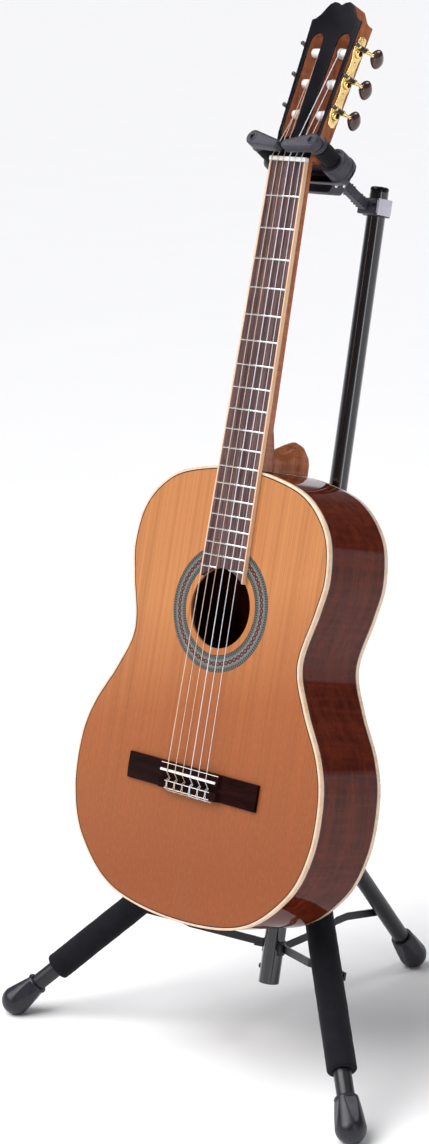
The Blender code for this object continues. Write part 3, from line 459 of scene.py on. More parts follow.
MATERIALS = {
    "cedar": cedar(),
    "side_wood": mahogany("mahogany_sides", GUITAR, 1, (0.060, 0.0080, 0.0032), (0.118, 0.0185, 0.0068)),
    "back_wood": mahogany("mahogany_back", GUITAR, 1, (0.065, 0.012, 0.006), (0.160, 0.032, 0.015)),
    "neck_wood": mahogany("mahogany_neck", GUITAR, 1, (0.26, 0.074, 0.031), (0.46, 0.160, 0.070), 0.5),
    "inner_wood": mottled("bare_spruce", (0.50, 0.33, 0.17), (0.62, 0.44, 0.26), (0.6, 0.75), 80, 0.00004),
    "cream": mottled("cream_binding", (0.70, 0.47, 0.31), (0.80, 0.58, 0.42), (0.24, 0.34), 90, 0.00001,
                     Coat_Weight=0.4, Coat_Roughness=0.08, Coat_IOR=1.3),
    "board": rosewood("rosewood_board", (0.045, 0.026, 0.030), (0.175, 0.105, 0.100), True),
    "bridge": rosewood("rosewood_bridge", (0.0035, 0.0007, 0.0006), (0.020, 0.0042, 0.0030)),
    "lacquer": lacquer(),
    "bone": mottled("polished_bone", (0.84, 0.80, 0.73), (0.93, 0.91, 0.87), (0.22, 0.34), 150, 0.00001,
                    Subsurface_Weight=0.08, Subsurface_Scale=0.002),
    "rosette": rosette(),
    "gold": gold(),
    "tuner": tuner(),
    "roller": roller(),
    "wound": wound(),
    "nylon": mottled("clear_nylon", (0.80, 0.80, 0.86), (0.90, 0.91, 0.96), (0.14, 0.22), 200, 0.00001,
                     Transmission_Weight=0.25),
    "nickel": mottled("fret_nickel", (0.72, 0.70, 0.69), (0.82, 0.81, 0.80), (0.16, 0.30), 400, 0.00001,
                      Metallic=1.0),
    "purfling": mottled("dark_purfling", (0.010, 0.006, 0.005), (0.022, 0.012, 0.010), (0.35, 0.45),
                        500, 0.00001),
    "gloss_tube": mottled("gloss_black_tube", (0.0035, 0.0035, 0.0050), (0.0055, 0.0055, 0.0075),
                          (0.10, 0.17), 14, 0.00002, 900.0, Coat_Weight=0.8, Coat_Roughness=0.06),
    "satin_tube": mottled("satin_black_tube", (0.0060, 0.0060, 0.0085), (0.0095, 0.0095, 0.0130),
                          (0.30, 0.42), 60, 0.00004, 2600.0),
    "foam": foam(),
    "rubber": pore_plastic("boot_rubber", (0.0085, 0.0080, 0.0135), (0.014, 0.0135, 0.021), (0.30, 0.42)),
    "plastic": pore_plastic("yoke_plastic", (0.026, 0.025, 0.038), (0.038, 0.036, 0.052)),
    "silver": mottled("button_silver", (0.52, 0.50, 0.58), (0.60, 0.58, 0.66), (0.30, 0.42), 300, 0.00002,
                      Metallic=0.3),
    "chrome": mottled("bright_screw", (0.70, 0.70, 0.73), (0.80, 0.80, 0.83), (0.10, 0.20), 500, 0.00001,
                      Metallic=1.0),
    "black_bolt": mottled("black_bolt", (0.010, 0.010, 0.013), (0.020, 0.020, 0.024), (0.24, 0.36), 400,
                          0.00002, Metallic=0.7),
}

TUNER_NAMES = ["%s_%d" % (hand, row) for hand in ("left", "right") for row in (1, 2, 3)]
NODE_LOOKS = {
    "cedar": ("soundboard",), "side_wood": ("sides",), "back_wood": ("back_plate",), "neck_wood": ("neck",),
    "inner_wood": ("neck_block",), "cream": ("front_binding", "back_binding"), "board": ("fingerboard",),
    "bridge": ("bridge",), "lacquer": ("headstock_veneer",), "bone": ("nut", "saddle"),
    "rosette": ("rosette",), "gold": ("tuner_plate_left", "tuner_plate_right"),
    "tuner": ["tuner_" + name for name in TUNER_NAMES],
    "roller": ["roller_" + name for name in TUNER_NAMES],
    "wound": ("string_1", "string_2", "string_3"), "nylon": ("string_4", "string_5", "string_6"),
    "gloss_tube": ("lower_tube", "upper_tube"),
    "satin_tube": ("brace_bracket", "leg_left", "leg_right", "leg_rear", "brace_left", "brace_right",
                   "brace_rear"),
    "foam": ("foam_left", "foam_right", "arm_left", "arm_right"),
    "rubber": ("boot_left", "boot_right", "boot_rear"),
    "plastic": ("tube_cap", "height_clutch", "leg_hub", "hub_knob", "clamp_block", "yoke_shank",
                "yoke_housing", "yoke_cover", "gate_left", "gate_right"),
    "silver": ("release_button",),
}
LOOK_OF = {member: look for look, members in NODE_LOOKS.items() for member in members}
# The material slot of each look that isn't named after the look itself
for member, look in LOOK_OF.items():
    slots = frame["nodes"][member].data.materials
    slots.clear()
    slots.append(MATERIALS[look])


# ---------------------------------------------------------------- pieces
def link(name, data):
    """A new object in the scene."""
    made = bpy.data.objects.new(name, data)
    bpy.context.scene.collection.objects.link(made)
    return made


SCRATCH = bpy.data.meshes.new("scratch")


def piece(name, bm, matrix, look, body, smooth=40.0):
    """A mesh built in one part's frame, set in the row frame on a body."""
    bmesh.ops.recalc_face_normals(bm, faces=bm.faces)
    mesh = bpy.data.meshes.new(name)
    bm.to_mesh(mesh)
    bm.free()
    mesh.transform(matrix)
    if matrix.to_3x3().determinant() < 0:
        mesh.flip_normals()
    if smooth:
        mesh.shade_smooth()
        mesh.set_sharp_from_angle(angle=radians(smooth))
    mesh.materials.append(MATERIALS[look])
    made = link(name, mesh)
    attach(made, body)
    return made


def stand_in(name, bm, matrix, look, node, smooth=40.0):
    """A piece shown instead of a CAD node, on that node's own body."""
    made = piece(name, bm, matrix, look, frame["nodes"][node]["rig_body"], smooth)
    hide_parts(node)
    return made


def join(bm, extra):
    """Adds a second mesh to a first and frees the second."""
    extra.to_mesh(SCRATCH)
    extra.free()
    bm.from_mesh(SCRATCH)


def loft(rings, closed=False, bm=None):
    """Walls between rings of equally many points, closed by caps or back on themselves."""
    bm = bm or bmesh.new()
    rows = [[bm.verts.new(point) for point in ring] for ring in rings]
    pairs = list(zip(rows, rows[1:]))
    if closed:
        pairs.append((rows[-1], rows[0]))
    count = len(rows[0])
    for low, high in pairs:
        for i in range(count):
            j = (i + 1) % count
            bm.faces.new((low[i], low[j], high[j], high[i]))
    if not closed:
        bm.faces.new(list(reversed(rows[0])))
        bm.faces.new(rows[-1])
    return bm


def polar(radius, angle, height):
    return Vector((radius * cos(angle), radius * sin(angle), height))


def circle(radius, count, height=0.0):
    return [polar(radius, 2 * pi * i / count, height) for i in range(count)]


def turned(profile, count=24, closed=False, bm=None):
    return loft([circle(radius, count, height) for radius, height in profile], closed, bm)


def prism(outline, low, high, bm=None):
    return loft([[Vector((x, y, z)) for x, y in outline] for z in (low, high)], bm=bm)


def bevel(bm, width, segments=2, angle=30.0):
    """Rounds the sharp edges of a mesh."""
    bmesh.ops.recalc_face_normals(bm, faces=bm.faces)
    sharp = [e for e in bm.edges if len(e.link_faces) == 2 and e.calc_face_angle(0) > radians(angle)]
    bmesh.ops.bevel(bm, geom=sharp, offset=width, segments=segments, affect="EDGES", profile=0.5)
    return bm


def block(low, high, width=0.0, segments=2):
    bm = bmesh.new()
    bmesh.ops.create_cube(bm, size=1.0)
    bmesh.ops.scale(bm, verts=bm.verts, vec=Vector([b - a for a, b in zip(low, high)]))
    bmesh.ops.translate(bm, verts=bm.verts, vec=Vector([(a + b) / 2 for a, b in zip(low, high)]))
    return bevel(bm, width, segments) if width else bm


def spline(points, steps):
    """A Catmull-Rom curve through points; the end points are only guides."""
    curve = []
    for p0, p1, p2, p3 in zip(points, points[1:], points[2:], points[3:]):
        for i in range(steps):
            t = i / steps
            weights = (-t + 2 * t * t - t ** 3, 2 - 5 * t * t + 3 * t ** 3,
                       t + 4 * t * t - 3 * t ** 3, t ** 3 - t * t)
            curve.append(tuple(sum(w * p[k] for w, p in zip(weights, (p0, p1, p2, p3))) / 2
                               for k in range(len(p1))))
    curve.append(tuple(points[-2]))
    return curve


def wire(name, points, radius, matrix, look, body, steps=6, count=8):
    """A round wire along a smooth line through points."""
    line = [Vector(p) for p in spline([points[0], *points, points[-1]], steps)]
    rings = []
    side = None
    for i, point in enumerate(line):
        along = (line[min(i + 1, len(line) - 1)] - line[max(i - 1, 0)]).normalized()
        if side is None:
            side = along.orthogonal().normalized()
        side = (side - along * side.dot(along)).normalized()
        up = along.cross(side)
        share = 0.5 if i in (0, len(line) - 1) else 1.0
        rings.append([point + (side * cos(2 * pi * k / count) + up * sin(2 * pi * k / count)) * radius * share
                      for k in range(count)])
    return piece(name, loft(rings), matrix, look, body, 60)


def fastener(name, matrix, place, axis, radius, height, look, body, socket="hex", base=0.0):
    """A domed screw head with a socket or a slot, standing on a surface."""
    bm = bmesh.new()
    count = 24
    profile = [(radius * 0.98, -base), (radius, height * 0.25), (radius * 0.93, height * 0.62),
               (radius * 0.72, height * 0.92), (radius * 0.46, height)]
    rings = [circle(r, count, z) for r, z in profile]
    if socket == "hex":
        for depth in (height, height * 0.30):
            ring = []
            for i in range(count):
                angle = 2 * pi * i / count
                turn = (angle % (pi / 3)) - pi / 6
                reach = radius * 0.40 / cos(turn)
                ring.append(polar(reach, angle, depth))
            rings.append(ring)
    elif socket == "round":
        rings += [circle(radius * 0.25, count, height * 1.04), circle(radius * 0.05, count, height * 1.06)]
    else:
        rings += [circle(radius * 0.42, count, height), circle(radius * 0.40, count, height * 0.55)]
    loft(rings, False, bm)
    if socket == "cross":
        join(bm, block((-radius * 0.36, -radius * 0.08, height * 0.5),
                       (radius * 0.36, radius * 0.08, height * 0.9)))
    turn = Vector((0, 0, 1)).rotation_difference(Vector(axis)).to_matrix().to_4x4()
    return piece(name, bm, matrix @ T(place) @ turn, look, body, 35)


def body_outline(inset=0.0, steps=8):
    half = [(0.0, 0.0), *OUTLINE]
    guides = [(-half[1][0], half[1][1]), *half, (-half[-2][0], half[-2][1])]
    treble = spline(guides, steps)
    line = treble + [(-x, y) for x, y in reversed(treble[1:-1])]
    moved = []
    for i, (x, y) in enumerate(line):
        tangent = Vector(line[(i + 1) % len(line)]) - Vector(line[i - 1])
        tangent.normalize()
        moved.append((x + tangent.y * inset, y - tangent.x * inset))
    return moved


def fine_outline(inset):
    return body_outline(inset, FINE_STEPS)


def ring_loft(corners):
    """A frame round the body: each corner of its section is an outline and a height along y."""
    return loft([[Vector((x, y, z(y))) for x, y in line] for line, z in corners], True)


def ring_prism(outer, inner, low, high):
    return ring_loft(((outer, low), (outer, high), (inner, high), (inner, low)))


def refine(node, angle=35.0, edge=0.0, segments=2):
    """A smooth-shaded copy of a CAD node, with its sharp edges softened, to stand for it."""
    bm = bmesh.new()
    bm.from_mesh(frame["nodes"][node].data)
    bmesh.ops.remove_doubles(bm, verts=bm.verts, dist=2e-6)
    bmesh.ops.dissolve_limit(bm, angle_limit=radians(0.5), verts=bm.verts, edges=bm.edges)
    if edge:
        bevel(bm, edge, segments, 38.0)
    stand_in(node + "_skin", bm, Matrix(), LOOK_OF[node], node, angle)


# ---------------------------------------------------------------- guitar body
def make_shell():
    """Sides, edges and back, finely divided so that their gloss runs smoothly."""
    edge = fine_outline(0.0)
    bm = ring_prism(edge, fine_outline(SIDE), lambda y: back_z(y) + 0.0062, lambda y: -0.0062)
    stand_in("sides_gloss", bm, GUITAR, "side_wood", "sides", 50)
    rounded, inner = fine_outline(ARRIS), fine_outline(BINDING_WIDTH)
    for node, flat, skin, arris in (
            ("front_binding", lambda y: -BINDING_HEIGHT, lambda y: 0.0, lambda y: -ARRIS),
            ("back_binding", lambda y: back_z(y) + BINDING_HEIGHT, back_z, lambda y: back_z(y) + ARRIS)):
        corners = ((edge, flat), (edge, arris), (rounded, skin), (inner, skin), (inner, flat))
        stand_in(node + "_edge", ring_loft(corners), GUITAR, "cream", node, 50)
    half = [point for point in fine_outline(0.0029) if point[0] >= 0]
    half.sort(key=lambda point: -point[1])
    bm = bmesh.new()
    rows = []
    for x, y in half:
        row = []
        for share in (-1.0, -0.5, 0.0, 0.5, 1.0):
            for rise in (0.0, PLATE):
                row.append(bm.verts.new((x * share, y, back_z(y) + rise)))
        rows.append(row)
    for a, b in zip(rows, rows[1:]):
        for k in range(4):
            bm.faces.new((a[2 * k], a[2 * k + 2], b[2 * k + 2], b[2 * k]))
            bm.faces.new((a[2 * k + 1], b[2 * k + 1], b[2 * k + 3], a[2 * k + 3]))
        bm.faces.new((a[0], b[0], b[1], a[1]))
        bm.faces.new((a[8], a[9], b[9], b[8]))
    bmesh.ops.remove_doubles(bm, verts=bm.verts, dist=1e-7)
    bmesh.ops.dissolve_degenerate(bm, dist=1e-7, edges=bm.edges)
    stand_in("back_gloss", bm, GUITAR, "back_wood", "back_plate", 50)


def make_trim():
    """Dark lines beside the cream edges, front and back."""
    for name, outer, inner, low, high in (
            ("front_purfling", 0.0025, 0.0037, lambda y: -0.0006, lambda y: 0.00008),
            ("front_side_line", -0.00006, 0.0010, lambda y: -0.0072, lambda y: -0.0058),
            ("back_side_line", -0.00006, 0.0010, lambda y: back_z(y) + 0.0058, lambda y: back_z(y) + 0.0072)):
        bm = ring_prism(fine_outline(outer), fine_outline(inner), low, high)
        piece(name, bm, GUITAR, "purfling", "guitar")


def make_frets():
    """Crowned bars, the last of them cut where the board ends over the soundhole."""
    bm = bmesh.new()
    for number in range(1, FRET_COUNT + 1):
        y = fret_y(number)
        half = board_half(y) - 0.0015
        top = board_top(y)
        spans = [(-half, half)]
        reach = SOUNDHOLE_R ** 2 - (y - SOUNDHOLE_Y) ** 2
        if reach > 0:
            cut = sqrt(reach) + 0.0004
            spans = [(-half, -cut), (cut, half)]
        for first, last in spans:
            if last - first < 0.001:
                continue
            rings = []
            for x, share in ((first, 0.55), (first + 0.0008, 1.0), (last - 0.0008, 1.0), (last, 0.55)):
                ring = [Vector((x, y - 0.0011, top - 0.0003)), Vector((x, y + 0.0011, top - 0.0003))]
                for i in range(7):
                    angle = pi * i / 6
                    ring.append(Vector((x, y + 0.0011 * cos(angle), top + share * 0.0010 * sin(angle))))
                rings.append(ring)
            loft(rings, False, bm)
    piece("frets", bm, GUITAR, "nickel", "guitar", 60)


def make_bridge_trim():
    """Three pale strips let into the bridge: two on the tie block, and one along the front edge that is a
    painted highlight.
    """
    for name, half, back, front, low, high in (
            ("tie_block_front_strip", 0.0330, -0.0062, -0.0054, 0.00845, 0.00917),
            ("tie_block_rear_strip", 0.0330, -0.0140, -0.0132, 0.00800, 0.00872),
            # The pale strip along the bridge's front edge is a painted highlight on that edge, not an inlay.
            ("bridge_front_painted_highlight", 0.0420, 0.0124, 0.0131, 0.00740, 0.00822)):
        strip = block((-half, BRIDGE_Y + back, low), (half, BRIDGE_Y + front, high), 0.0001, 1)
        piece(name, strip, GUITAR, "bone", "guitar")


def string_look(number):
    return "wound" if number < 3 else "nylon"


def make_string_ties():
    """Each string goes through the tie block, back over it, and round itself."""
    for number in range(6):
        radius = STRING_RADII[number]
        x = (number / 5 * 2 - 1) * STRING_HALF_BRIDGE
        tail = 0.0115 if number < 5 else 0.0070
        top = 0.0090 + radius
        path = [(0.0, -0.0140, 0.0040), (0.0, -0.0150, 0.0046), (0.0003, -0.0154, 0.0072),
                (0.0004, -0.0138, top), (0.0009, -0.0112, top + 0.0002),
                (-0.0006, -0.0084, top + 0.0006), (0.0008, -0.0058, top + 0.0003),
                (0.0010, -0.0034, 0.0074), (-0.0003, -0.0022, 0.0062), (-0.0011, -0.0034, 0.0078),
                (-0.0008, -0.0060, top + 0.0006), (0.0008, -0.0086, top + 0.0004),
                (-0.0008, -0.0114, top + 0.0006), (-0.0002, -0.0142, top + 0.0003),
                (0.0016, -0.0157, 0.0076), (tail * 0.5, -0.0160, 0.0068), (tail, -0.0164, 0.0066)]
        points = [(x + px, BRIDGE_Y + py, pz) for px, py, pz in path]
        wire("string_tie_%d" % (number + 1), points, radius * 0.9, GUITAR, string_look(number), "guitar")


# ---------------------------------------------------------------- headstock
def roller_spot(number):
    """Roller side, place up the headstock and place across it for a string."""
    treble = number > 2
    row = (5 - number) if treble else number
    side = 1 if treble else -1
    y = ROLLER_YS[row]
    return side, row + 1, y, side * (slot_centre(y) + 0.0015 - 0.0028 * row)


def make_windings():
    """Turns of each string round its roller."""
    for number in range(6):
        side, row, y, x = roller_spot(number)
        radius = STRING_RADII[number]
        hand = "right" if side > 0 else "left"
        points = []
        turns = 3.5
        steps = 12
        for i in range(int(turns * steps) + 1):
            angle = pi / 2 - 2 * pi * i / steps
            drift = -side * (2.1 * radius * i / steps)
            points.append((x + drift, y + (ROLLER_R + radius) * cos(angle),
                           -ROLLER_DEPTH + (ROLLER_R + radius) * sin(angle)))
        label = "%s_%d" % (hand, row)
        wire("string_winding_" + label, points, radius, HEAD, string_look(number), "roller_" + label, 1, 8)


def make_plates():
    """Waisted, engraved side plates with bearings for the worms, and their screws."""
    for hand, side in SIDES:
        taper = atan2(HEAD_HIGH[0] - HEAD_LOW[0], HEAD_HIGH[1] - HEAD_LOW[1])
        middle = ROLLER_YS[1] + 0.0035
        holder = (HEAD @ T((side * (head_half(middle) + GAP), middle, -ROLLER_DEPTH))
                  @ Matrix.Rotation(-side * taper, 4, "Z") @ Matrix.Rotation(side * pi / 2, 4, "Y"))
        line = []
        for i in range(61):
            y = -PLATE_REACH + 2 * PLATE_REACH * i / 60
            near = min(abs(y - (ry - middle + 0.0030)) for ry in ROLLER_YS)
            width = 0.0050 + 0.0028 / (1 + (near / PLATE_HALF) ** 4)
            end = max(0.0, PLATE_REACH - abs(y))
            if end < PLATE_HALF:
                width = min(width, sqrt(max(0.0, PLATE_HALF ** 2 - (PLATE_HALF - end) ** 2)) + 0.0001)
            line.append((width, y))
        outline = line + [(-w, y) for w, y in reversed(line)]
        bm = prism(outline, 0.0001, PLATE_THICK)
        bevel(bm, 0.0004, 2, 50)
        stand_in("tuner_side_plate_" + hand, bm, holder, "gold", "tuner_plate_" + hand)
        for number, y in enumerate((-0.0455, -0.0142, 0.0215, 0.0470)):
            fastener("plate_screw_%s_%d" % (hand, number + 1), holder, (0.0, y, PLATE_THICK), (0, 0, 1),
                     0.0019, 0.0009, "gold", "guitar", "cross", 0.0005)
        for number, y in enumerate(ROLLER_YS, 1):
            bearings = bmesh.new()
            base = side * (head_half(y) + GAP + PLATE_THICK)
            for low, high in ((0.0041, 0.0064), (-0.0084, -0.0061)):
                arch = []
                for i in range(9):
                    angle = pi * i / 8
                    arch.append((0.0031 * cos(angle), 0.0030 + 0.0029 * sin(angle)))
                arch = [(0.0031, -0.0004), *arch, (-0.0031, -0.0004)]
                loft([[Vector((base + side * up, y + WORM_OFFSET + across, -ROLLER_DEPTH + z))
                       for across, up in arch] for z in (low, high)], False, bearings)
            bevel(bearings, 0.0003, 1, 50)
            piece("worm_bearing_%s_%d" % (hand, number), bearings, HEAD, "gold", "guitar")


def make_knob(label, side, y):
    """A worm with its shaft and oval button, beside the headstock."""
    spindle = [(0.0010, 0.0112), (0.0018, 0.0110), (0.0023, 0.0105), (0.0023, 0.0066),
               (0.0015, 0.0062), (0.0015, 0.0044)]
    for i in range(41):
        spindle.append((0.0022 if i % 4 in (1, 2) else 0.0018, 0.0040 - 0.0096 * i / 40))
    spindle += [(0.0015, -0.0060), (0.0015, -0.0102), (0.0021, -0.0108), (0.0023, -0.0118),
                (0.0017, -0.0130), (0.0015, -0.0158), (0.0019, -0.0166), (0.0024, -0.0176),
                (0.0024, -0.0186)]
    sections = [(radius, radius, z) for radius, z in spindle]
    for i in range(13):
        share = i / 12
        swell = sin(pi * min(1.0, share * 0.93 + 0.07)) ** 0.62
        sections.append((0.0018 + 0.0031 * swell, 0.0020 + 0.0096 * swell * (0.84 + 0.16 * share),
                         -0.0190 - 0.0162 * share))
    angles = [2 * pi * k / 28 for k in range(28)]
    rings = [[Vector((rx * cos(angle), ry * sin(angle), z)) for angle in angles]
             for rx, ry, z in sections]
    place = HEAD @ T((side * (head_half(y) + GAP + PLATE_THICK + 0.0030), y + WORM_OFFSET, -ROLLER_DEPTH))
    stand_in("tuner_knob_" + label, loft(rings), place, "tuner", "tuner_" + label, 50)


def make_roller(label, side, y):
    """A string roller between its bearings, with its gear outside the plate."""
    top = head_half(y) + GAP + PLATE_THICK
    inner, outer = slot_centre(y) - 0.0084, slot_centre(y) + 0.0084
    profile = [(0.0025, inner - 0.0038), (0.0025, inner), (0.0045, inner), (ROLLER_R, inner + 0.0004),
               (ROLLER_R, outer - 0.0004), (0.0045, outer), (0.0025, outer),
               (0.0025, top + 0.0004),
               (0.0046, top + 0.0005), (0.0048, top + 0.0009), (0.0046, top + 0.0016),
               (0.0038, top + 0.0024), (0.0028, top + 0.0030), (0.0028, top + 0.0034),
               (0.0026, top + 0.0040), (0.0020, top + 0.0045), (0.0010, top + 0.0047)]
    bm = turned(profile, 28)
    across = Matrix.Rotation(side * pi / 2, 3, "Y")
    bmesh.ops.rotate(bm, verts=bm.verts, cent=(0, 0, 0), matrix=across)
    place = HEAD @ T((0, y, -ROLLER_DEPTH))
    stand_in("string_roller_" + label, bm, place, "roller", "roller_" + label)


def make_knobs():
    for hand, side in SIDES:
        for number, y in enumerate(ROLLER_YS, 1):
            label = "%s_%d" % (hand, number)
            make_knob(label, side, y)
            make_roller(label, side, y)


# ---------------------------------------------------------------- foam
def foam_sleeve(name, matrix, radius, bore, low, high, node, dent=False, rows=60):
    """A soft tube: rounded ends, a faint seam, uneven skin, and a dent where the guitar leans."""
    profile = []
    lip = 0.0022
    for i in range(7):
        angle = pi / 2 * i / 6
        profile.append((radius - lip + lip * sin(angle), low + lip - lip * cos(angle)))
    for i in range(1, rows):
        profile.append((radius, low + lip + (high - low - 2 * lip) * i / rows))
    for i in range(7):
        angle = pi / 2 * i / 6
        profile.append((radius - lip + lip * cos(angle), high - lip + lip * sin(angle)))
    profile = [(bore, low + 0.0012)] + profile + [(bore, high - 0.0012)]
    bm = turned(profile, 40, True)
    to_guitar = GUITAR.inverted() @ matrix
    outline = body_outline(0.0)
    for vert in bm.verts:
        reach = Vector((vert.co.x, vert.co.y)).length
        if reach < bore + 0.001:
            continue
        out = Vector((vert.co.x, vert.co.y, 0)) / reach
        swell = 0.00028 * noise.noise(vert.co * 90) + 0.00012 * noise.noise(vert.co * 400)
        angle = atan2(vert.co.y, vert.co.x)
        seam = -0.0005 * exp(-((angle - 2.2) / 0.045) ** 2)
        vert.co += out * (min(swell, 0.0002) + seam)
        if dent:
            place = to_guitar @ vert.co
            over = place.z - (back_z(place.y) - 0.0005)
            if over > -0.004:
                inside = min((Vector((x, y)) - Vector((place.x, place.y))).length for x, y in outline)
                within = point_in(outline, place.x, place.y)
                if within or inside < 0.0025:
                    depth = max(0.0, over) if within else max(0.0, over) * (1 - inside / 0.0025)
                    place.z -= depth
                    vert.co = to_guitar.inverted() @ place
    stand_in(name, bm, matrix, "foam", node, 60)


def point_in(line, x, y):
    inside = False
    for (x0, y0), (x1, y1) in zip(line, line[1:] + line[:1]):
        if (y0 > y) != (y1 > y) and x < (x1 - x0) * (y - y0) / (y1 - y0) + x0:
            inside = not inside
    return inside


def make_sleeves():
    """Foam on the front legs, and pads with their spindles on the yoke's arms."""
    for hand, arm in ARMS.items():
        foot = leg_length(hand) - FOAM_END_BEFORE_BALL
        foam_sleeve("foam_sleeve_" + hand, LEGS[hand], FOAM_R, LEG_R + 0.0002, -foot, -FOAM_START,
                    "foam_" + hand, dent=True)
        foam_sleeve("arm_pad_" + hand, arm, 0.0100, 0.0050, 0.0795, 0.1046, "arm_" + hand, rows=16)
        core = turned(((0.0056, 0.0628), (0.0058, 0.0632), (0.0058, 0.0792), (0.0049, 0.0794),
                       (0.0049, 0.1090)), 24)
        piece("arm_spindle_" + hand, core, arm, "black_bolt", "gate_" + hand)


# ---------------------------------------------------------------- yoke
def gate_outline(side, shrink):
    """The paddle from its pivot to its rounded tip."""
    outline = []
    for x, y, radius, first in ((0.0, -0.0015, 0.0086, 0.5 * pi), (-0.0335, -0.0070, 0.0050, 1.5 * pi)):
        for i in range(17):
            angle = first - pi * i / 16
            reach = radius - shrink
            outline.append((side * (x + reach * cos(angle)), y + reach * sin(angle)))
    return outline


def make_gates():
    """Paddles with a rim round a sunk face, and a socket screw on the pivot."""
    for hand, side in SIDES:
        arm = ARMS[hand]
        levels = ((0.0010, 0.1093), (0.0002, 0.1096), (0.0, 0.1101), (0.0, 0.1193), (0.0004, 0.1201),
                  (0.0010, 0.1205), (0.0015, 0.1204), (0.0018, 0.1199), (0.0030, 0.1198))
        rings = [[Vector((x, y, z)) for x, y in gate_outline(side, shrink)] for shrink, z in levels]
        stand_in("gate_paddle_" + hand, loft(rings), arm, "plastic", "gate_" + hand, 35)
        bm = turned(((0.0046, 0.1190), (0.0046, 0.1203), (0.0042, 0.1206), (0.0035, 0.1206), (0.0033, 0.1200),
                     (0.0033, 0.1190)), 24, True)
        piece("gate_screw_ring_" + hand, bm, arm @ T((0, -0.0015, 0)), "plastic", "gate_" + hand)
        fastener("gate_screw_" + hand, arm, (0, -0.0015, 0.1196), (0, 0, 1), 0.0030, 0.0009, "black_bolt",
                 "gate_" + hand, "hex", 0.0005)


def make_screws():
    """Two bright screws on each side of the cover, and the bolt of the clamp."""
    for number, (up, out) in enumerate(((-0.0222, 0.0385), (-0.0156, 0.0280)), 1):
        for side, label in ((1, number), (-1, number + 2)):
            fastener("cover_screw_%d" % label, YOKE, (side * 0.0205, up, out), (side, 0, 0), 0.0022, 0.0012,
                     "chrome", "mast", "hex", 0.0004)
    fastener("clamp_bolt", SHAFT, (0.0128, -0.0205, CLAMP_Z + 0.0010), (0.5, -1, 0), 0.0022, 0.0020,
             "black_bolt", "mast")


def make_yoke_trim():
    """Lips round the arms' sockets, collars behind the paddles, the ribbed shank and the button."""
    for hand, side in SIDES:
        arm = ARMS[hand]
        lip = ((0.0112, 0.0760), (0.0146, 0.0762), (0.0150, 0.0768), (0.0148, 0.0782), (0.0140, 0.0788),
               (0.0122, 0.0788), (0.0115, 0.0780))
        piece("socket_lip_" + hand, turned(lip, 48, True), arm, "plastic", "mast", 30)
        band = ((0.0146, 0.0606), (0.0154, 0.0606), (0.0158, 0.0611), (0.0158, 0.0621), (0.0154, 0.0626),
                (0.0146, 0.0626))
        piece("socket_band_" + hand, turned(band, 48, True), arm, "plastic", "mast", 30)
        collar = ((0.0052, 0.1048), (0.0102, 0.1048), (0.0106, 0.1053), (0.0106, 0.1068), (0.0100, 0.1074),
                  (0.0100, 0.1080), (0.0098, 0.1090), (0.0052, 0.1090))
        piece("pad_collar_" + hand, turned(collar, 48, True), arm, "plastic", "gate_" + hand, 30)
    start = Vector((0, -0.0028, 0.0111))
    end = YOKE.inverted() @ SHAFT @ Vector((0, -0.0190, CLAMP_Z - 0.0020))
    for number, share in enumerate((0.20, 0.30, 0.62, 0.72, 0.82), 1):
        centre = start.lerp(end, share)
        rib = block((-0.0062, -0.0055, -0.0007), (0.0062, 0.0055, 0.0007), 0.0003)
        piece("shank_rib_%d" % number, rib, YOKE @ T(centre), "plastic", "mast", 20)
    centre = start.lerp(end, 0.46)
    for number, side in enumerate((-1, 1), 1):
        x = side * 0.0058
        panel = block((x - 0.0005, -0.0030, -0.0042), (x + 0.0005, 0.0030, 0.0042), 0.0003)
        piece("shank_panel_%d" % number, panel, YOKE @ T(centre), "plastic", "mast", 20)
    low, high = CLAMP_Z - 0.0088, CLAMP_Z + 0.0078
    button = block((0.0172, -0.0198, low - 0.0006), (0.0192, 0.0020, high + 0.0006), 0.0009, 4)
    join(button, block((0.0146, -0.0186, low + 0.0014), (0.0174, 0.0006, high - 0.0014)))
    stand_in("release_pad", button, SHAFT, "silver", "release_button", 20)


# ---------------------------------------------------------------- tubes and boots
def boot_shape(length, count=96):
    """A rubber foot: a flared barrel on a round sole, with four cheeks pared flat."""
    rows = [(0.0121, 0.0340), (0.0126, 0.0334)]
    for i in range(1, 27):
        share = i / 26
        rows.append((0.0126 + 0.0039 * share ** 0.8, 0.0334 - 0.0334 * share))
    for i in range(1, 18):
        angle = pi / 2 * i / 18
        rows.append((BOOT_R * cos(angle), -BOOT_R * sin(angle)))
    rings = [circle(LEG_R + 0.0003, count, -length + 0.0300), circle(LEG_R + 0.0004, count, -length + 0.0342),
             circle(0.0116, count, -length + 0.0343)]
    for radius, height in rows:
        ring = []
        flat = 0.0112 + 0.0052 * (0.0315 - height) / 0.0280
        for k in range(count):
            angle = 2 * pi * k / count
            turn = (angle + pi / 4) % (pi / 2) - pi / 4
            reach = radius
            if height < 0.0315:
                reach = min(radius, flat / cos(turn) - 0.0004)
            ring.append(polar(reach, angle, -length + height))
        rings.append(ring)
    rings.append(circle(0.0004, count, -length - BOOT_R))
    return loft(rings)


def make_boots():
    """Each boot is cut off level with the floor, and its leg shown smooth."""
    for name, leg in LEGS.items():
        bm = boot_shape(leg_length(name))
        bmesh.ops.transform(bm, matrix=leg, verts=bm.verts)
        cut = bmesh.ops.bisect_plane(bm, geom=[*bm.verts, *bm.edges, *bm.faces], plane_co=(0, 0, 0.0001),
                                     plane_no=(0, 0, 1), clear_inner=True)
        rim = [e for e in cut["geom_cut"] if isinstance(e, bmesh.types.BMEdge)]
        if rim:
            bmesh.ops.contextual_create(bm, geom=rim)
        stand_in("rubber_boot_" + name, bm, Matrix(), "rubber", "boot_" + name, 28)
        refine("leg_" + name, 40)


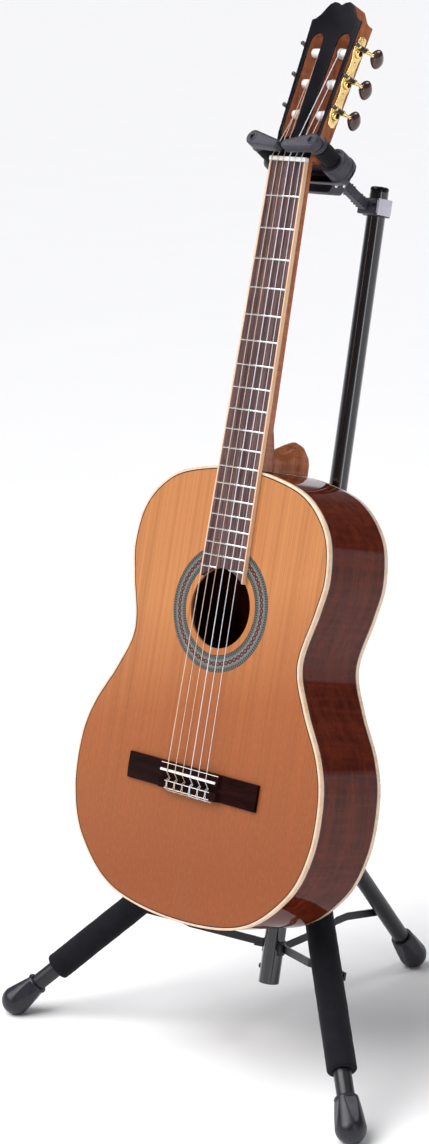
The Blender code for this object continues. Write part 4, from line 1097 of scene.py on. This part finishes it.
def make_tubes():
    """Both tubes with rounded ends, and the cap of the upper one."""
    for node, outer, edge, bore, low, high, inset in (
            ("lower_tube", 0.0116, 0.0111, 0.0106, 0.0595, 0.5480, 0.0003),
            ("upper_tube", 0.0103, 0.0098, 0.0091, 0.2300, 0.9410, 0.0002)):
        profile = ((outer, low + 0.0005), (edge, low), (bore, low + inset), (bore, high - 0.0002),
                   (edge, high), (outer, high - 0.0005))
        stand_in(node + "_gloss", turned(profile, 64, True), SHAFT, "gloss_tube", node)
    cap = turned(((0.0088, 0.9295), (0.0088, 0.9413), (0.0103, 0.9413), (0.0103, 0.9438), (0.0099, 0.9450),
                  (0.0090, 0.9458), (0.0075, 0.9462), (0.0020, 0.9463)), 48)
    stand_in("tube_cap_round", cap, SHAFT, "lacquer", "tube_cap", 35)


def make_clutch():
    """The height clutch: a gripped sleeve with ribs between two collars."""
    count = 72
    profile = ((0.0119, 0.5203), (0.0152, 0.5200), (0.0160, 0.5206), (0.0176, 0.5250), (0.0185, 0.5280),
               (0.0185, 0.5300), (0.0185, 0.5302), (0.0185, 0.5660), (0.0185, 0.5662), (0.0185, 0.5680),
               (0.0170, 0.5750), (0.0150, 0.5835), (0.0140, 0.5880), (0.0133, 0.5898), (0.0108, 0.5900),
               (0.0106, 0.5890), (0.0106, 0.5484), (0.0119, 0.5484))
    rings = []
    for radius, height in profile:
        ring = []
        for k in range(count):
            angle = 2 * pi * k / count
            reach = radius
            if 0.5301 < height < 0.5661:
                reach -= 0.0011 * (0.5 + 0.5 * cos(angle * 18)) ** 2
            ring.append(polar(reach, angle, height))
        rings.append(ring)
    stand_in("height_clutch_grip", loft(rings, True), SHAFT, "plastic", "height_clutch", 35)


# ---------------------------------------------------------------- stand fittings
def make_fittings():
    """The stop pin, the bolts of the leg hinges and the rivets of the brace hinges."""
    fastener("stop_rivet", SHAFT, (-0.0112, -0.0020, 0.076), (-1, -0.2, 0), 0.0034, 0.0034, "black_bolt",
             "stem", "round", 0.0006)
    for name, azimuth in AZIMUTHS.items():
        for part, side, radius, height, socket in (("head", 1, 0.0034, 0.0022, "hex"),
                                                   ("nut", -1, 0.0036, 0.0020, "round")):
            fastener("hinge_bolt_%s_%s" % (part, name), hinge_frame(azimuth), (0, side * 0.0094, 0),
                     (0, side, 0), radius, height, "black_bolt", "leg_" + name, socket, 0.0010)
        drop = REAR_BRACE_DROP if name == "rear" else 0.0
        turn = -1 if name == "left" else 1
        brace = SHAFT @ T((0, 0, BRACKET_Z - drop)) @ spoke(azimuth) @ T((BRACE_HINGE_R, 0, 0))
        fastener("brace_rivet_" + name, brace, (0, turn * 0.0064, 0), (0, turn, 0), 0.0026, 0.0013,
                 "black_bolt", "brace_" + name, "round", 0.0006)


# ---------------------------------------------------------------- stage
def area_light(name, place, target, size, power, colour=(1, 1, 1)):
    data = bpy.data.lights.new(name, "AREA")
    data.shape = "RECTANGLE"
    data.size, data.size_y = size
    data.energy = power
    data.color = colour
    made = link(name, data)
    made.location = place
    made.rotation_euler = (Vector(target) - Vector(place)).to_track_quat("-Z", "Y").to_euler()


def make_stage():
    bm = bmesh.new()
    bmesh.ops.create_circle(bm, cap_ends=True, segments=96, radius=150.0)
    mesh = bpy.data.meshes.new("floor")
    bm.to_mesh(mesh)
    bm.free()
    floor = link("floor", mesh)
    net = Net("pale_floor")
    cloud = net.noise(net.point(), 3, 2)
    mesh.materials.append(net.done(net.mix(cloud, (0.895, 0.895, 0.90), (0.915, 0.915, 0.92)), 0.8,
                                   Specular_IOR_Level=0.1))
    make_world()
    sun = bpy.data.lights.new("overhead", "SUN")
    sun.energy, sun.angle = 3.3, radians(54)
    link("overhead", sun).rotation_euler = Vector((-0.30, -0.62, 1.0)).to_track_quat("Z", "Y").to_euler()
    area_light("key", (-0.2, -2.7, 2.1), (0, 0, 0.60), (1.1, 1.5), 20)
    area_light("fill", (2.9, -0.9, 1.3), (0, 0, 0.55), (0.6, 1.6), 9)
    area_light("rim", (0.8, 1.5, 2.7), (0, 0, 0.7), (1.0, 1.0), 14)
    bpy.context.scene.view_settings.view_transform = "Standard"


def make_world():
    """A dark room above a bright horizon, so that gloss shows clear edges of light."""
    world = bpy.data.worlds.new("studio")
    world.use_nodes = True
    tree = world.node_tree
    background = tree.nodes["Background"]
    place = tree.nodes.new("ShaderNodeTexCoord")
    split = tree.nodes.new("ShaderNodeSeparateXYZ")
    ramp = tree.nodes.new("ShaderNodeValToRGB")
    tree.links.new(place.outputs["Generated"], split.inputs[0])
    tree.links.new(split.outputs[2], ramp.inputs[0])
    tree.links.new(ramp.outputs[0], background.inputs[0])
    stops = ((0.0, 0.95), (0.09, 0.95), (0.14, 0.16), (0.55, 0.10), (1.0, 0.30))
    set_stops(ramp.color_ramp, [(height, (grey, grey, grey * 1.06)) for height, grey in stops])
    bpy.context.scene.world = world


def make_camera():
    data = bpy.data.cameras.new("camera")
    data.lens, data.sensor_width, data.shift_x = 85.6, 36.0, -0.0032
    data.clip_start, data.clip_end = 0.05, 200.0
    camera = link("camera", data)
    camera.matrix_world = Matrix(((0.7182, -0.1493, 0.6796, 1.9494), (0.6953, 0.1922, -0.6925, -2.0963),
                                  (-0.0272, 0.9699, 0.2419, 1.2350), (0, 0, 0, 1)))
    bpy.context.scene.camera = camera


# ---------------------------------------------------------------- build
make_shell()
make_trim()
make_frets()
make_bridge_trim()
make_string_ties()
make_windings()
make_plates()
make_knobs()
for node, angle, edge in (("neck", 40, 0.0), ("headstock_veneer", 20, 0.0003), ("nut", 40, 0.0),
                          ("saddle", 40, 0.0), ("bridge", 20, 0.0004)):
    refine(node, angle, edge)
make_sleeves()
make_gates()
make_screws()
make_yoke_trim()
make_boots()
make_tubes()
make_clutch()
for edge, nodes in ((0.0004, ("leg_hub", "yoke_shank", "clamp_block", "hub_knob", "brace_bracket")),
                    (0.0008, ("yoke_housing", "yoke_cover")),
                    (0.0003, ("brace_left", "brace_right", "brace_rear"))):
    for node in nodes:
        refine(node, 20, edge)
make_fittings()
make_stage()
make_camera()
